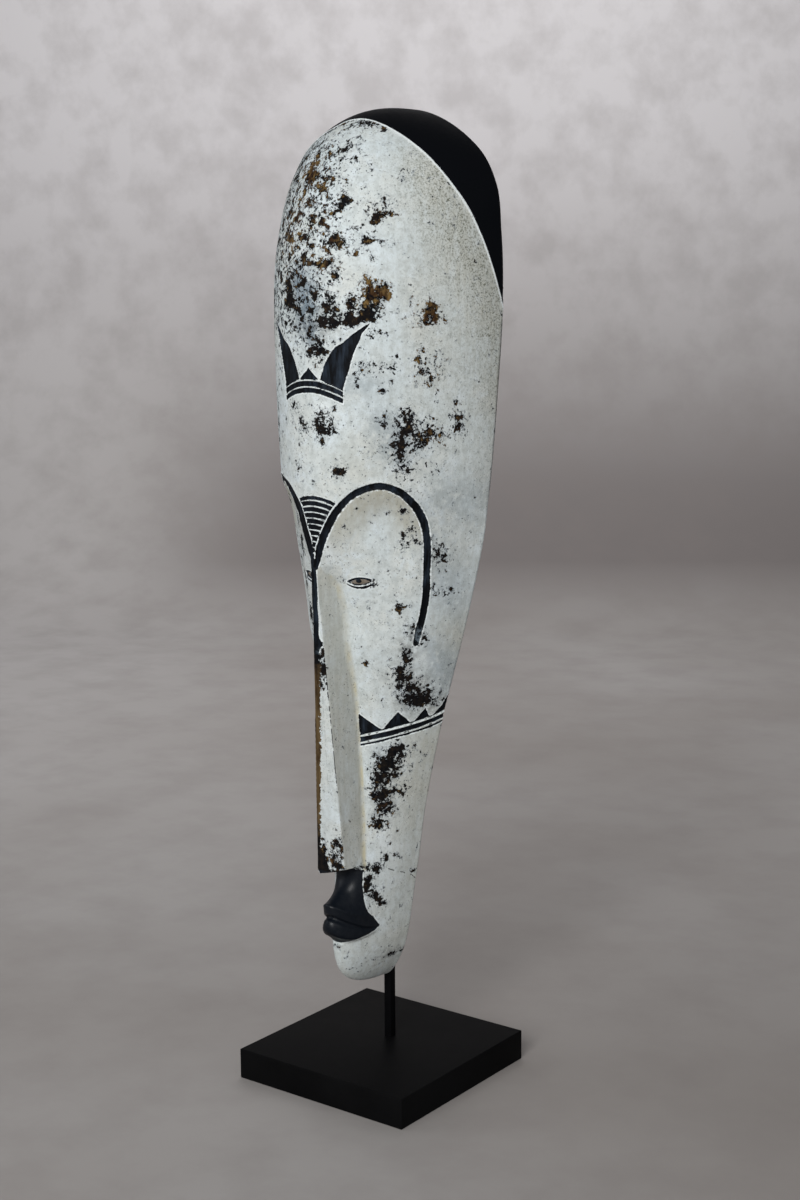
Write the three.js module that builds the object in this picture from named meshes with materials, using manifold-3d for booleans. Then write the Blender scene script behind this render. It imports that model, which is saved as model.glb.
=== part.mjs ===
// A tall carved mask on its display stand: a hollow-backed wooden mask, a square steel rod and a square plate
// Millimetres, +Z up. The origin is the middle of the plate's underside, and the mask looks towards -Y.
import * as THREE from "three";
import { mergeVertices } from "three/addons/utils/BufferGeometryUtils.js";
import Module from "manifold-3d";

const wasm = await Module();
wasm.setup();

// Stand
const plate = { side: 200, thick: 30, edgeRound: 1.2 };
const rod = { side: 8, top: 889, behindMiddle: 12, intoPlate: 18 };
const fitGap = 0.3;

// Mask, in its own upright frame: x across, y behind the flat back plane, z up from the tip of the chin
const maskHeight = 834;
const maskPlace = { lift: 97, back: 6.3, leanBack: 1.2, leanSide: 1.2 };
const stations = [
  { z: 30, halfWidth: 21.2, depth: 76 },
  { z: 90, halfWidth: 32.4, depth: 78 },
  { z: 125, halfWidth: 37.3, depth: 76 },
  { z: 180, halfWidth: 44, depth: 68.5 },
  { z: 270, halfWidth: 62, depth: 71 },
  { z: 360, halfWidth: 84.9, depth: 100.9 },
  { z: 425, halfWidth: 98.9, depth: 122 },
  { z: 450, halfWidth: 103.4, depth: 125.2 },
  { z: 480, halfWidth: 106.4, depth: 125.4 },
  { z: 600, halfWidth: 114, depth: 135 },
  { z: 720, halfWidth: 112, depth: 131.5 },
  { z: 765, halfWidth: 104.6, depth: 115.6 },
  { z: 800, halfWidth: 80.9, depth: 95.5 },
];
const tipRadius = { chinAcross: 3.7, chinFore: 280, crownAcross: 82, crownFore: 262 };
// A low value makes a full section, a high one a section that falls away towards the rim
const keennessRows = [
  [0, 0.72], [260, 0.72], [340, 0.75], [400, 0.84], [450, 0.87],
  [472, 0.77], [485, 0.69], [497, 0.655], [834, 0.63],
];

// Nose
const nose = { tipZ: 124, rootZ: 440, tipHalf: 17.7, rootHalf: 2, tipDepth: 89.7, rootDepth: 125 };
// The tip is cut at a slant, which dies out this far up and down, and this far out from the middle
const tipSlant = { slope: 0.3, upDown: 12, out: 30 };
const flareRows = [[124, 0.6], [260, 0.8], [320, 3], [370, 4.5], [440, 5]];

// Brow, from the root of the nose over the eye and down the temple
const brow = { width: 5.6, deep: 2.4, step: 1.6, stepWide: 3, stepLow: 330, stepHigh: 390 };
const browPoints = [
  [3, 418], [8.5, 438], [16.6, 457.5], [23.6, 470.5], [39.6, 487], [58, 494.3],
  [70, 488.8], [77.2, 472], [78.9, 448], [76.4, 418], [71.8, 384], [63, 347],
];
const cheekFold = [[54, 322], [48, 290], [43, 240]];
// How deep the panel under the brow is scooped: height, over all its width, and more beside the nose
const scoopRows = [
  [240, 0, 0], [265, 0, 0.6], [320, 0, 6.5], [345, 0, 9], [370, 4, 10],
  [400, 8.5, 6], [425, 11, 4], [450, 10.5, 2], [485, 7, 0],
];
const scoop = { edge: 24, nearEdge: 10, besideNose: 14, spread: 24 };

// Mouth: height, and depth in front of the back plane, of the lips down the middle
const lipRows = [
  [46, 75], [50, 77], [53.5, 79], [58, 83], [64, 89.5], [69, 92.5], [75, 93], [78.5, 92], [81, 89],
  [83.5, 92.5], [88, 94], [93.5, 93.5], [96.5, 88], [100, 81.5], [105, 74.5], [112, 69.5], [120, 67.5],
  [127, 67],
];
const mouth = {
  top: 124, corner: 63.5, bottom: 52, topHalf: 19, cornerHalf: 22.8, underCurve: 2.4, across: 0.6,
  droop: 18.4, droopFrom: 50, droopFull: 62, droopWanes: 92, droopGone: 120,
};

// Shallow carving on the face
const eye = { x: 29.3, z: 405.2, halfLong: 12.4, halfHigh: 4.6, tilt: 7.5, deep: 2 };
const crest = {
  horn: [
    [12, 587.5], [14.5, 597], [20, 608], [28, 618], [36, 624], [44, 630], [53, 637],
    [48, 629], [44, 618.5], [41, 610], [38, 599], [35.5, 588], [34, 580.5], [23, 584.5],
  ],
  point: [[-10.5, 588], [0, 597.5], [10.5, 588], [0, 588.8]],
  stripeHeights: [584, 578, 572.5], stripeHalf: 33, stripeDrop: 130, stripeWidth: 4.3, deep: 1.3,
};
const fan = {
  count: 9, topZ: 481.5, pitch: 5.7, topHalf: 22, lowHalf: 2.6, drop: 100, stripeWidth: 3.4, deep: 1.1,
};
const cheek = {
  frontZ: 250.7, rise: 16.3, deep: 1.2, toothFoot: 1.2, stripeDrops: [3.3, 9], stripeWidth: 3.8,
  stripeFrom: 12, stripeTo: 86, stripeStep: 6,
  teeth: [
    { from: 12, peak: 12, to: 30.5, high: 22 },
    { from: 31.5, peak: 42, to: 53, high: 16.5 },
    { from: 54, peak: 62.5, to: 66.5, high: 13 },
    { from: 67.5, peak: 84, to: 84, high: 18 },
  ],
};

const coif = { rimZ: 650, rise: 2.35, step: 0.5 };
const hollow = {
  low: 58, high: 772, rimWall: 14, frontWall: 27, least: 6, endRound: 0.45, floorRound: 1.2, pastBack: 12,
};

const rad = THREE.MathUtils.degToRad;
const { clamp, lerp, smoothstep } = THREE.MathUtils;

// A smooth curve through rows of [place, value]
function smoothThrough(rows) {
  const slope = rows.map((row, i) => {
    const before = rows[Math.max(i - 1, 0)];
    const after = rows[Math.min(i + 1, rows.length - 1)];
    return (after[1] - before[1]) / (after[0] - before[0]);
  });
  return (at) => {
    const place = clamp(at, rows[0][0], rows.at(-1)[0]);
    const i = Math.max(1, rows.findIndex((row) => row[0] >= place));
    const [x0, v0] = rows[i - 1];
    const [x1, v1] = rows[i];
    const span = x1 - x0;
    const t = (place - x0) / span;
    const hold = (1 + 2 * t) * (1 - t) ** 2;
    const bend0 = t * (1 - t) ** 2 * span * slope[i - 1];
    const bend1 = t * t * (t - 1) * span * slope[i];
    return hold * v0 + (1 - hold) * v1 + bend0 + bend1;
  };
}

// Both ends of the egg are round, so its sizes are kept as a share of a half circle
const eggAngle = (z) => Math.acos(clamp(1 - (2 * z) / maskHeight, -1, 1));
const tipSwell = (radius) => Math.sqrt((radius * maskHeight) / 2);
const swell = (key, chinTip, crownTip) =>
  smoothThrough([
    [0, tipSwell(chinTip)],
    ...stations.map((s) => [eggAngle(s.z), s[key] / Math.sin(eggAngle(s.z))]),
    [Math.PI, tipSwell(crownTip)],
  ]);
const widthSwell = swell("halfWidth", tipRadius.chinAcross, tipRadius.crownAcross);
const depthSwell = swell("depth", tipRadius.chinFore, tipRadius.crownFore);
const halfWidth = (z) => Math.sin(eggAngle(z)) * widthSwell(eggAngle(z));
const depth = (z) => Math.sin(eggAngle(z)) * depthSwell(eggAngle(z));

const keenness = smoothThrough(keennessRows);

// How far in front of the back plane the uncarved egg stands
function eggDepth(x, z) {
  const across = clamp(1 - (x / Math.max(halfWidth(z), 1e-6)) ** 2, 0, 1);
  return depth(z) * across ** keenness(z);
}

const browCurve = new THREE.CatmullRomCurve3(
  browPoints.map(([x, z]) => new THREE.Vector3(x, 0, z)), false, "centripetal");
const browLine = browCurve.getSpacedPoints(60).map((p) => [p.x, p.z]);
const panelEdge = [...browLine, ...cheekFold];
const panelLoop = [...panelEdge, [-1, cheekFold.at(-1)[1]], [-1, browPoints[0][1]]];

// How far a point of the face lies inside the panel's edge, which the brow draws
function insidePanel(x, z) {
  let nearest = Infinity;
  let inside = false;
  panelLoop.forEach(([px, pz], i) => {
    const [qx, qz] = panelLoop[(i + 1) % panelLoop.length];
    if (i + 1 < panelEdge.length) {
      const along = ((x - px) * (qx - px) + (z - pz) * (qz - pz)) / ((qx - px) ** 2 + (qz - pz) ** 2);
      const t = clamp(along, 0, 1);
      nearest = Math.min(nearest, Math.hypot(x - lerp(px, qx, t), z - lerp(pz, qz, t)));
    }
    if (pz > z !== qz > z && x < px + ((z - pz) / (qz - pz)) * (qx - px)) inside = !inside;
  });
  return inside ? nearest : -nearest;
}

const flare = smoothThrough(flareRows);
const noseShare = (z) => clamp((z - nose.tipZ) / (nose.rootZ - nose.tipZ), 0, 1);
const noseHalf = (z) => lerp(nose.tipHalf, nose.rootHalf, noseShare(z));
const noseFoot = (z) => noseHalf(z) + flare(z);

// The panel under each brow is a shallow scoop, deepest beside the nose
const scoopWide = smoothThrough(scoopRows.map(([z, wide]) => [z, wide]));
const scoopNear = smoothThrough(scoopRows.map(([z, , near]) => [z, near]));
function panelRecess(x, z) {
  const inside = insidePanel(x, z);
  if (inside <= 0) return 0;
  const beside = Math.exp(-(((x - scoop.besideNose) / scoop.spread) ** 2));
  const step = brow.step * smoothstep(inside, 0, brow.stepWide) * smoothstep(z, brow.stepLow, brow.stepHigh);
  const wide = scoopWide(z) * smoothstep(inside, 0, scoop.edge);
  const near = scoopNear(z) * beside * smoothstep(inside, 0, scoop.nearEdge);
  return step + wide + near;
}

const lipProfile = smoothThrough(lipRows);
function mouthHalf(z) {
  if (z >= mouth.corner) {
    const down = clamp((mouth.top - z) / (mouth.top - mouth.corner), 0, 1);
    return lerp(mouth.topHalf, mouth.cornerHalf, down ** 2);
  }
  const low = clamp((mouth.corner - z) / (mouth.corner - mouth.bottom), 0, 1);
  return mouth.cornerHalf * Math.sqrt(1 - low ** mouth.underCurve);
}
// The lips droop towards the corners of the mouth
function lipDroop(x, z) {
  const below = smoothstep(z, mouth.droopFrom, mouth.droopFull);
  const above = 1 - smoothstep(z, mouth.droopWanes, mouth.droopGone);
  return mouth.droop * (x / mouth.cornerHalf) ** 2 * below * above;
}

// How far in front of the back plane the carved face stands, left and right alike
function faceDepth(xSigned, z) {
  const x = Math.abs(xSigned);
  let out = eggDepth(x, z) - panelRecess(x, z);
  const half = mouthHalf(z);
  if (z < mouth.top && z > mouth.bottom && x < half) {
    const edge = eggDepth(half, z);
    out = edge + (lipProfile(z + lipDroop(x, z)) - edge) * (1 - (x / half) ** 2) ** mouth.across;
  }
  if (z >= nose.tipZ && z < nose.rootZ) {
    const ridge = lerp(nose.tipDepth, nose.rootDepth, noseShare(z));
    const side = clamp((x - noseHalf(z)) / (noseFoot(z) - noseHalf(z)), 0, 1);
    out = Math.max(out, lerp(ridge, out, side));
  }
  return out;
}

// The tip of the nose is cut at a slant, so the rows near it are tilted
function tipTilt(x, z) {
  const within = 1 - smoothstep(Math.abs(x), nose.tipHalf, tipSlant.out);
  const reach = clamp(x, -nose.tipHalf, nose.tipHalf) * within;
  return tipSlant.slope * reach * Math.exp(-(((z - nose.tipZ) / tipSlant.upDown) ** 2));
}

// Columns follow the edges of the nose, then spread evenly to the rim
// Near the tip of the chin, where the nose would be too wide, they keep to these shares of the width
const columns = { cheek: 10, mostHalf: 0.56, mostFoot: 0.62, inner: 0.55 };
function columnXs(z) {
  const w = halfWidth(z);
  const half = Math.min(noseHalf(z), w * columns.mostHalf);
  const foot = Math.min(noseFoot(z), w * columns.mostFoot);
  const start = Math.asin(foot / w);
  const xs = [0, half * columns.inner, half, (half + foot) / 2, foot];
  for (let i = 1; i <= columns.cheek; i++) {
    const angle = lerp(start, Math.PI / 2, i / columns.cheek);
    xs.push(w * Math.sin(angle));
  }
  return xs;
}

// Rows are close at the mouth and at the tips, and wider elsewhere. The tips' rows are angles on the egg
const tipRows = { chin: [6, 11, 16], crown: [132, 137, 142, 147, 152, 157, 162, 167, 172, 176] };
const rowRuns = [
  { from: 24, below: 40, step: 7 },
  { from: 40, below: nose.tipZ - 2, step: 4.3 },
  { from: nose.tipZ - 0.7, below: nose.tipZ + 0.5, step: 0.7 },
  { from: nose.tipZ + 12, below: 262, step: 21 },
  { from: 263, below: 505, step: 12 },
  { from: 520, below: 690, step: 30 },
];
function rowHeights() {
  const atAngle = (degrees) => (maskHeight * (1 - Math.cos(rad(degrees)))) / 2;
  const rows = tipRows.chin.map(atAngle);
  for (const { from, below, step } of rowRuns) {
    for (let z = from; z < below; z += step) rows.push(z);
  }
  return [...rows, ...tipRows.crown.map(atAngle)];
}

function geometryOf(points, faces) {
  const geometry = new THREE.BufferGeometry();
  geometry.setAttribute("position", new THREE.Float32BufferAttribute(points.flat(), 3));
  geometry.setIndex(faces.flat());
  return geometry;
}

// A closed body lofted through rows of points, each row running from the left rim over the front to the right
// rim, with a flat back and a single point at each end
function loft(rows, lowTip, highTip) {
  const count = rows[0].length;
  const points = [...rows.flat(), lowTip, highTip];
  const low = points.length - 2;
  const high = points.length - 1;
  const faces = [];
  for (let i = 0; i + 1 < rows.length; i++) {
    for (let j = 0; j < count; j++) {
      const next = (j + 1) % count;
      const a = i * count + j;
      const b = i * count + next;
      faces.push([a, b, b + count], [a, b + count, a + count]);
    }
  }
  const top = (rows.length - 1) * count;
  for (let j = 0; j < count; j++) {
    const next = (j + 1) % count;
    faces.push([low, next, j], [high, top + j, top + next]);
  }
  return geometryOf(points, faces);
}

// The mask without its hollow, its whole surface set in by a little
function maskBlank(inset) {
  const typicalHalf = 110;
  const leastDepth = 0.4;
  const share = 1 - inset / typicalHalf;
  const rows = rowHeights().map((z) => {
    const xs = columnXs(z);
    const across = [...xs.slice(1).reverse().map((x) => -x), ...xs];
    return across.map((x) => {
      const atRim = Math.abs(x) > halfWidth(z) - 1e-4;
      const y = atRim ? 0 : -Math.max(faceDepth(x, z) - inset, leastDepth);
      return [x * share, y, z + tipTilt(x, z) - inset * (z / maskHeight)];
    });
  });
  return loft(rows, [0, 0, 0], [0, 0, maskHeight - inset]);
}

// The hollow follows the egg inside its walls and runs out past the back plane
function hollowCore() {
  const rows = [];
  const steps = 22;
  const spans = 18;
  const behind = hollow.pastBack;
  for (let i = 1; i < steps; i++) {
    const turn = (Math.PI * i) / steps;
    const z = lerp(hollow.low, hollow.high, (1 - Math.cos(turn)) / 2);
    const round = Math.sin(turn) ** hollow.endRound;
    const w = Math.max(halfWidth(z) - hollow.rimWall, hollow.least) * round;
    const d = Math.max(depth(z) - hollow.frontWall, hollow.least) * round;
    const row = [[-w, behind, z]];
    for (let j = 0; j <= spans; j++) {
      const angle = lerp(-Math.PI / 2, Math.PI / 2, j / spans);
      row.push([w * Math.sin(angle), -d * Math.cos(angle) ** hollow.floorRound, z]);
    }
    row.push([w, behind, z]);
    rows.push(row);
  }
  return loft(rows, [0, behind, hollow.low], [0, behind, hollow.high]);
}

function solidOf(geometry) {
  const bare = geometry.clone();
  bare.deleteAttribute("normal");
  bare.deleteAttribute("uv");
  const merged = mergeVertices(bare, 1e-4);
  const mesh = new wasm.Mesh({
    numProp: 3,
    vertProperties: new Float32Array(merged.attributes.position.array),
    triVerts: new Uint32Array(merged.index.array),
  });
  return new wasm.Manifold(mesh);
}

function boxSolid(size, centre) {
  return solidOf(new THREE.BoxGeometry(...size).translate(...centre));
}

// A point of the carved face, lifted off it along its own normal
function onFace(x, z, lift) {
  const step = 0.5;
  const w = halfWidth(z) - 0.2;
  const at = (px, pz) => new THREE.Vector3(px, -faceDepth(clamp(px, -w, w), pz), pz);
  const alongX = at(x + step, z).sub(at(x - step, z));
  const alongZ = at(x, z + step).sub(at(x, z - step));
  const normal = alongX.cross(alongZ).normalize();
  return { point: at(x, z).addScaledVector(normal, lift), normal };
}

// A V-shaped groove cut along a line of [x, z] points on the face
function groove(line, width, deep) {
  const proud = 3;
  const topHalf = (width / 2) * (1 + proud / deep);
  const spots = line.map(([x, z]) => onFace(x, z, 0));
  const rings = spots.map(({ point, normal }, i) => {
    const before = spots[Math.max(i - 1, 0)].point;
    const after = spots[Math.min(i + 1, spots.length - 1)].point;
    const side = after.clone().sub(before).cross(normal).normalize();
    return [
      point.clone().addScaledVector(side, -topHalf).addScaledVector(normal, proud),
      point.clone().addScaledVector(side, topHalf).addScaledVector(normal, proud),
      point.clone().addScaledVector(normal, -deep),
    ].map((p) => p.toArray());
  });
  const faces = [];
  for (let i = 0; i + 1 < rings.length; i++) {
    for (let j = 0; j < 3; j++) {
      const a = i * 3 + j;
      const b = i * 3 + ((j + 1) % 3);
      faces.push([a, b, b + 3], [a, b + 3, a + 3]);
    }
  }
  const last = (rings.length - 1) * 3;
  faces.push([0, 2, 1], [last, last + 1, last + 2]);
  return solidOf(geometryOf(rings.flat(), faces));
}

// A flat-floored pocket with the given outline of [x, z] points
function pocket(outline, deep) {
  const proud = 5;
  const flat = outline.map(([x, z]) => new THREE.Vector2(x, z));
  const ordered = THREE.ShapeUtils.isClockWise(flat) ? flat.reverse() : flat;
  const count = ordered.length;
  const upper = ordered.map((p) => onFace(p.x, p.y, proud).point.toArray());
  const lower = ordered.map((p) => onFace(p.x, p.y, -deep).point.toArray());
  const faces = [];
  for (const [a, b, c] of THREE.ShapeUtils.triangulateShape(ordered, [])) {
    faces.push([a, b, c], [a + count, c + count, b + count]);
  }
  for (let i = 0; i < count; i++) {
    const next = (i + 1) % count;
    faces.push([i, i + count, next + count], [i, next + count, next]);
  }
  return solidOf(geometryOf([...upper, ...lower], faces));
}

const mirrored = (line) => line.map(([x, z]) => [-x, z]);

// The crest on the forehead: two horns on a curved band of three stripes, with a point between them
function crestCuts() {
  const spans = 8;
  const arc = (z) => {
    const line = [];
    for (let i = 0; i <= spans; i++) {
      const x = lerp(-crest.stripeHalf, crest.stripeHalf, i / spans);
      line.push([x, z - (x * x) / crest.stripeDrop]);
    }
    return line;
  };
  const outlines = [crest.horn, mirrored(crest.horn), crest.point];
  const pockets = outlines.map((outline) => pocket(outline, crest.deep));
  const stripes = crest.stripeHeights.map((z) => groove(arc(z), crest.stripeWidth, crest.deep));
  return [...pockets, ...stripes];
}

// The fan between the brows: curved stripes that shrink towards the root of the nose
function fanCuts() {
  const cuts = [];
  const across = [-1, -0.4, 0.4, 1];
  for (let i = 0; i < fan.count; i++) {
    const z = fan.topZ - i * fan.pitch;
    const half = lerp(fan.topHalf, fan.lowHalf, i / (fan.count - 1));
    const line = across.map((t) => [t * half, z - (t * half) ** 2 / fan.drop]);
    cuts.push(groove(line, fan.stripeWidth, fan.deep));
  }
  return cuts;
}

// The cheek band: four toothed triangles over two stripes, rising from the nose to the rim
function cheekCuts() {
  // A point of the band, round from the middle by an angle and up from the foot line of the teeth
  const at = (degrees, up) => {
    const z = cheek.frontZ + cheek.rise * rad(degrees) + up;
    return [halfWidth(z) * Math.sin(rad(degrees)), z];
  };
  const teeth = cheek.teeth.map(({ from, peak, to, high }) => {
    const outline = [at(from, cheek.toothFoot)];
    if (peak > from) outline.push(at((from + peak) / 2, high / 2));
    outline.push(at(peak, high));
    if (to > peak) outline.push(at((to + peak) / 2, high / 2));
    outline.push(at(to, cheek.toothFoot), at((from + to) / 2, cheek.toothFoot));
    return outline;
  });
  const stripe = (drop) => {
    const line = [];
    const { stripeFrom, stripeTo, stripeStep } = cheek;
    for (let degrees = stripeFrom; degrees <= stripeTo; degrees += stripeStep) line.push(at(degrees, -drop));
    return line;
  };
  const outlines = teeth.flatMap((outline) => [outline, mirrored(outline)]);
  const lines = cheek.stripeDrops.map(stripe).flatMap((line) => [line, mirrored(line)]);
  const pockets = outlines.map((outline) => pocket(outline, cheek.deep));
  return [...pockets, ...lines.map((line) => groove(line, cheek.stripeWidth, cheek.deep))];
}

// Each eye is a narrow almond
function eyeCuts() {
  const outline = [];
  const count = 14;
  for (let i = 0; i < count; i++) {
    const turn = (2 * Math.PI * i) / count;
    const x = eye.halfLong * Math.cos(turn);
    const z = eye.halfHigh * Math.sin(turn) * Math.abs(Math.sin(turn)) + x * Math.tan(rad(eye.tilt));
    outline.push([eye.x + x, eye.z + z]);
  }
  return [pocket(outline, eye.deep), pocket(mirrored(outline), eye.deep)];
}

function browCuts() {
  const line = browCurve.getSpacedPoints(30).map((p) => [p.x, p.z]);
  return [groove(line, brow.width, brow.deep), groove(mirrored(line), brow.width, brow.deep)];
}

// The coif behind the hairline sits a little lower than the face
function coifCut() {
  const slant = Math.atan(coif.rise);
  const size = 600;
  const block = new THREE.BoxGeometry(size, size, size);
  block.translate(0, 0, size / 2).rotateX(-slant).translate(0, 0, coif.rimZ);
  return solidOf(block).subtract(solidOf(maskBlank(coif.step)));
}

const placeMask = new THREE.Matrix4()
  .makeTranslation(0, maskPlace.back, maskPlace.lift)
  .multiply(new THREE.Matrix4().makeRotationY(rad(maskPlace.leanSide)))
  .multiply(new THREE.Matrix4().makeRotationX(-rad(maskPlace.leanBack)));

// The blind hole in the crown that takes the rod, in the mask's own frame
function rodSeat() {
  const wide = rod.side + 2 * fitGap;
  const long = 120;
  const seat = new THREE.BoxGeometry(wide, wide, long);
  seat.translate(0, rod.behindMiddle, rod.top + fitGap - long / 2);
  seat.applyMatrix4(placeMask.clone().invert());
  return solidOf(seat);
}

function carveMask() {
  let mask = solidOf(maskBlank(0)).subtract(coifCut()).subtract(solidOf(hollowCore()));
  for (const cut of [...browCuts(), ...crestCuts(), ...fanCuts(), ...cheekCuts(), ...eyeCuts()]) {
    mask = mask.subtract(cut);
  }
  return mask.subtract(rodSeat());
}

function geometryFrom(solid) {
  const mesh = solid.getMesh();
  const geometry = new THREE.BufferGeometry();
  geometry.setAttribute("position", new THREE.BufferAttribute(new Float32Array(mesh.vertProperties), 3));
  geometry.setIndex(new THREE.BufferAttribute(new Uint32Array(mesh.triVerts), 1));
  return geometry;
}

function plateGeometry() {
  const { side, thick, edgeRound } = plate;
  const inner = side - 2 * edgeRound;
  const shape = new THREE.Shape();
  shape.moveTo(-inner / 2, -inner / 2);
  shape.lineTo(inner / 2, -inner / 2);
  shape.lineTo(inner / 2, inner / 2);
  shape.lineTo(-inner / 2, inner / 2);
  const slab = new THREE.ExtrudeGeometry(shape, {
    depth: thick - 2 * edgeRound,
    bevelThickness: edgeRound,
    bevelSize: edgeRound,
    bevelSegments: 2,
    steps: 1,
  });
  slab.translate(0, 0, edgeRound);
  const wide = rod.side + 2 * fitGap;
  const socket = boxSolid([wide, wide, rod.intoPlate * 2], [0, rod.behindMiddle, thick]);
  return geometryFrom(solidOf(slab).subtract(socket));
}

function rodGeometry() {
  const foot = plate.thick - rod.intoPlate + fitGap;
  const bar = new THREE.BoxGeometry(rod.side, rod.side, rod.top - foot);
  return bar.translate(0, rod.behindMiddle, (rod.top + foot) / 2);
}

const paintedWood = new THREE.MeshStandardMaterial({ color: 0xc9cabd, roughness: 0.75, metalness: 0 });
const blackSteel = new THREE.MeshStandardMaterial({ color: 0x0d0d0f, roughness: 0.5, metalness: 0.1 });
const blackLacquer = new THREE.MeshStandardMaterial({ color: 0x101011, roughness: 0.35, metalness: 0 });

function named(name, geometry, material) {
  const mesh = new THREE.Mesh(geometry, material);
  mesh.name = name;
  return mesh;
}

const object = new THREE.Group();
const mask = named("mask", geometryFrom(carveMask()), paintedWood);
mask.applyMatrix4(placeMask);
object.add(mask);
object.add(named("stand_rod", rodGeometry(), blackSteel));
object.add(named("base_plate", plateGeometry(), blackLacquer));

export default object;
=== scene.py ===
import math

import bmesh
import bpy
import numpy as np
from mathutils import Matrix, Vector, noise


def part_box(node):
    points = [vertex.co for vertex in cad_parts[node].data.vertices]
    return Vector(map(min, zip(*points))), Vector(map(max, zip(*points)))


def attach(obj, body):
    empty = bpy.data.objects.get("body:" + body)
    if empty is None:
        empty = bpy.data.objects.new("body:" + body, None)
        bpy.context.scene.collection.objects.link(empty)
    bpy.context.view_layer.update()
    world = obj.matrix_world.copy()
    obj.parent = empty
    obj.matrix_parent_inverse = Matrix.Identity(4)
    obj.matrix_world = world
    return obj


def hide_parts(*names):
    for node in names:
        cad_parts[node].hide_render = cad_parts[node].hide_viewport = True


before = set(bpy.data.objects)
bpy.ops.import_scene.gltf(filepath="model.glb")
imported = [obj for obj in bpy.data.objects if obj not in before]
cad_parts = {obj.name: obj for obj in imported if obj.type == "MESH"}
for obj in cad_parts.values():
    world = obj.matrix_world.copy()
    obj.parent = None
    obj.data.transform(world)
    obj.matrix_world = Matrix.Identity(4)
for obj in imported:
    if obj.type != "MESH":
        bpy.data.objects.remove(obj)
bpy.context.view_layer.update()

mm = 0.001
scene = bpy.context.scene


# Camera, at the photograph's viewing angle
camera = {
    "place": (1.0534, -1.3391, 0.7442),
    "turnDegrees": (80.95, 0.0, 35.6),
    "lens": 54.0,
    "sensorHeight": 36.0,
    "shiftX": -0.05,
}

cameraData = bpy.data.cameras.new("camera")
cameraData.lens = camera["lens"]
cameraData.sensor_fit = "VERTICAL"
cameraData.sensor_height = camera["sensorHeight"]
cameraData.shift_x = camera["shiftX"]
cameraObject = bpy.data.objects.new("camera", cameraData)
cameraObject.location = camera["place"]
cameraObject.rotation_euler = [math.radians(a) for a in camera["turnDegrees"]]
scene.collection.objects.link(cameraObject)
scene.camera = cameraObject
print("camera set")


# Helpers for the carved shapes, all on whole arrays of points
def easeStep(value, low, high):
    share = np.clip((np.asarray(value, float) - low) / (high - low), 0, 1)
    return share * share * (3 - 2 * share)


def between(low, high, share):
    return low + (high - low) * share


def bell(value, middle, spread):
    return np.exp(-(((value - middle) / spread) ** 2))


# A smooth curve through rows of (place, value)
def smoothThrough(rows):
    places, values = np.array(rows, float).T
    last = len(places) - 1
    after = np.minimum(np.arange(last + 1) + 1, last)
    before = np.maximum(np.arange(last + 1) - 1, 0)
    slopes = (values[after] - values[before]) / (places[after] - places[before])

    def curve(at):
        spot = np.clip(np.asarray(at, float), places[0], places[-1])
        i = np.clip(np.searchsorted(places, spot), 1, last)
        span = places[i] - places[i - 1]
        t = (spot - places[i - 1]) / span
        hold = (1 + 2 * t) * (1 - t) ** 2
        bend = t * (1 - t) ** 2 * span * slopes[i - 1] + t * t * (t - 1) * span * slopes[i]
        return hold * values[i - 1] + (1 - hold) * values[i] + bend

    return curve


# The distance that stands for everywhere else
farAway = 25.0


# Distance from every point to a path of points, in two or three dimensions; far points get the reach
def distanceTo(points, path, reach=farAway):
    nearest = np.full(len(points), reach)
    low, high = path.min(0) - reach, path.max(0) + reach
    close = np.nonzero(np.all((points > low) & (points < high), axis=1))[0]
    spots = points[close]
    best = np.full(len(close), reach)
    for start, end in zip(path[:-1], path[1:]):
        step = end - start
        share = np.clip(((spots - start) @ step) / max(step @ step, 1e-12), 0, 1)
        best = np.minimum(best, np.linalg.norm(spots - start - share[:, None] * step, axis=1))
    nearest[close] = best
    return nearest


# Which points lie inside a closed outline, by counting crossings
def insideOutline(across, up, outline):
    inside = np.zeros(len(across), bool)
    for (ax, az), (bx, bz) in zip(outline, np.roll(outline, -1, axis=0)):
        if az != bz:
            crosses = ((az > up) != (bz > up)) & (across < ax + (up - az) / (bz - az) * (bx - ax))
            inside ^= crosses
    return inside


# A centripetal curve through a few points, given back as evenly spaced points
def curvedThrough(corners, count):
    p = np.array(corners, float)
    p = np.vstack([2 * p[0] - p[1], p, 2 * p[-1] - p[-2]])
    knots = np.concatenate([[0], np.cumsum(np.linalg.norm(np.diff(p, axis=0), axis=1) ** 0.5)])
    fine = []
    for i in range(1, len(p) - 2):
        t = np.linspace(knots[i], knots[i + 1], 24, endpoint=i == len(p) - 3)[:, None]
        k = knots[i - 1:i + 3]
        a = [((k[j + 1] - t) * p[i - 1 + j] + (t - k[j]) * p[i + j]) / (k[j + 1] - k[j]) for j in range(3)]
        b = [((k[j + 2] - t) * a[j] + (t - k[j]) * a[j + 1]) / (k[j + 2] - k[j]) for j in range(2)]
        fine.append(((k[2] - t) * b[0] + (t - k[1]) * b[1]) / (k[2] - k[1]))
    fine = np.vstack(fine)
    run = np.concatenate([[0], np.cumsum(np.linalg.norm(np.diff(fine, axis=0), axis=1))])
    spots = np.linspace(0, run[-1], count)
    return np.stack([np.interp(spots, run, fine[:, 0]), np.interp(spots, run, fine[:, 1])], axis=1)


# Straight stretches of an outline cut into short ones
def shortSteps(corners, longest=2.5):
    path = [np.array(corners[0], float)]
    for corner in corners[1:]:
        goal = np.array(corner, float)
        count = max(1, math.ceil(np.linalg.norm(goal - path[-1]) / longest))
        start = path[-1]
        path += [between(start, goal, (i + 1) / count) for i in range(count)]
    return np.array(path)


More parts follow.
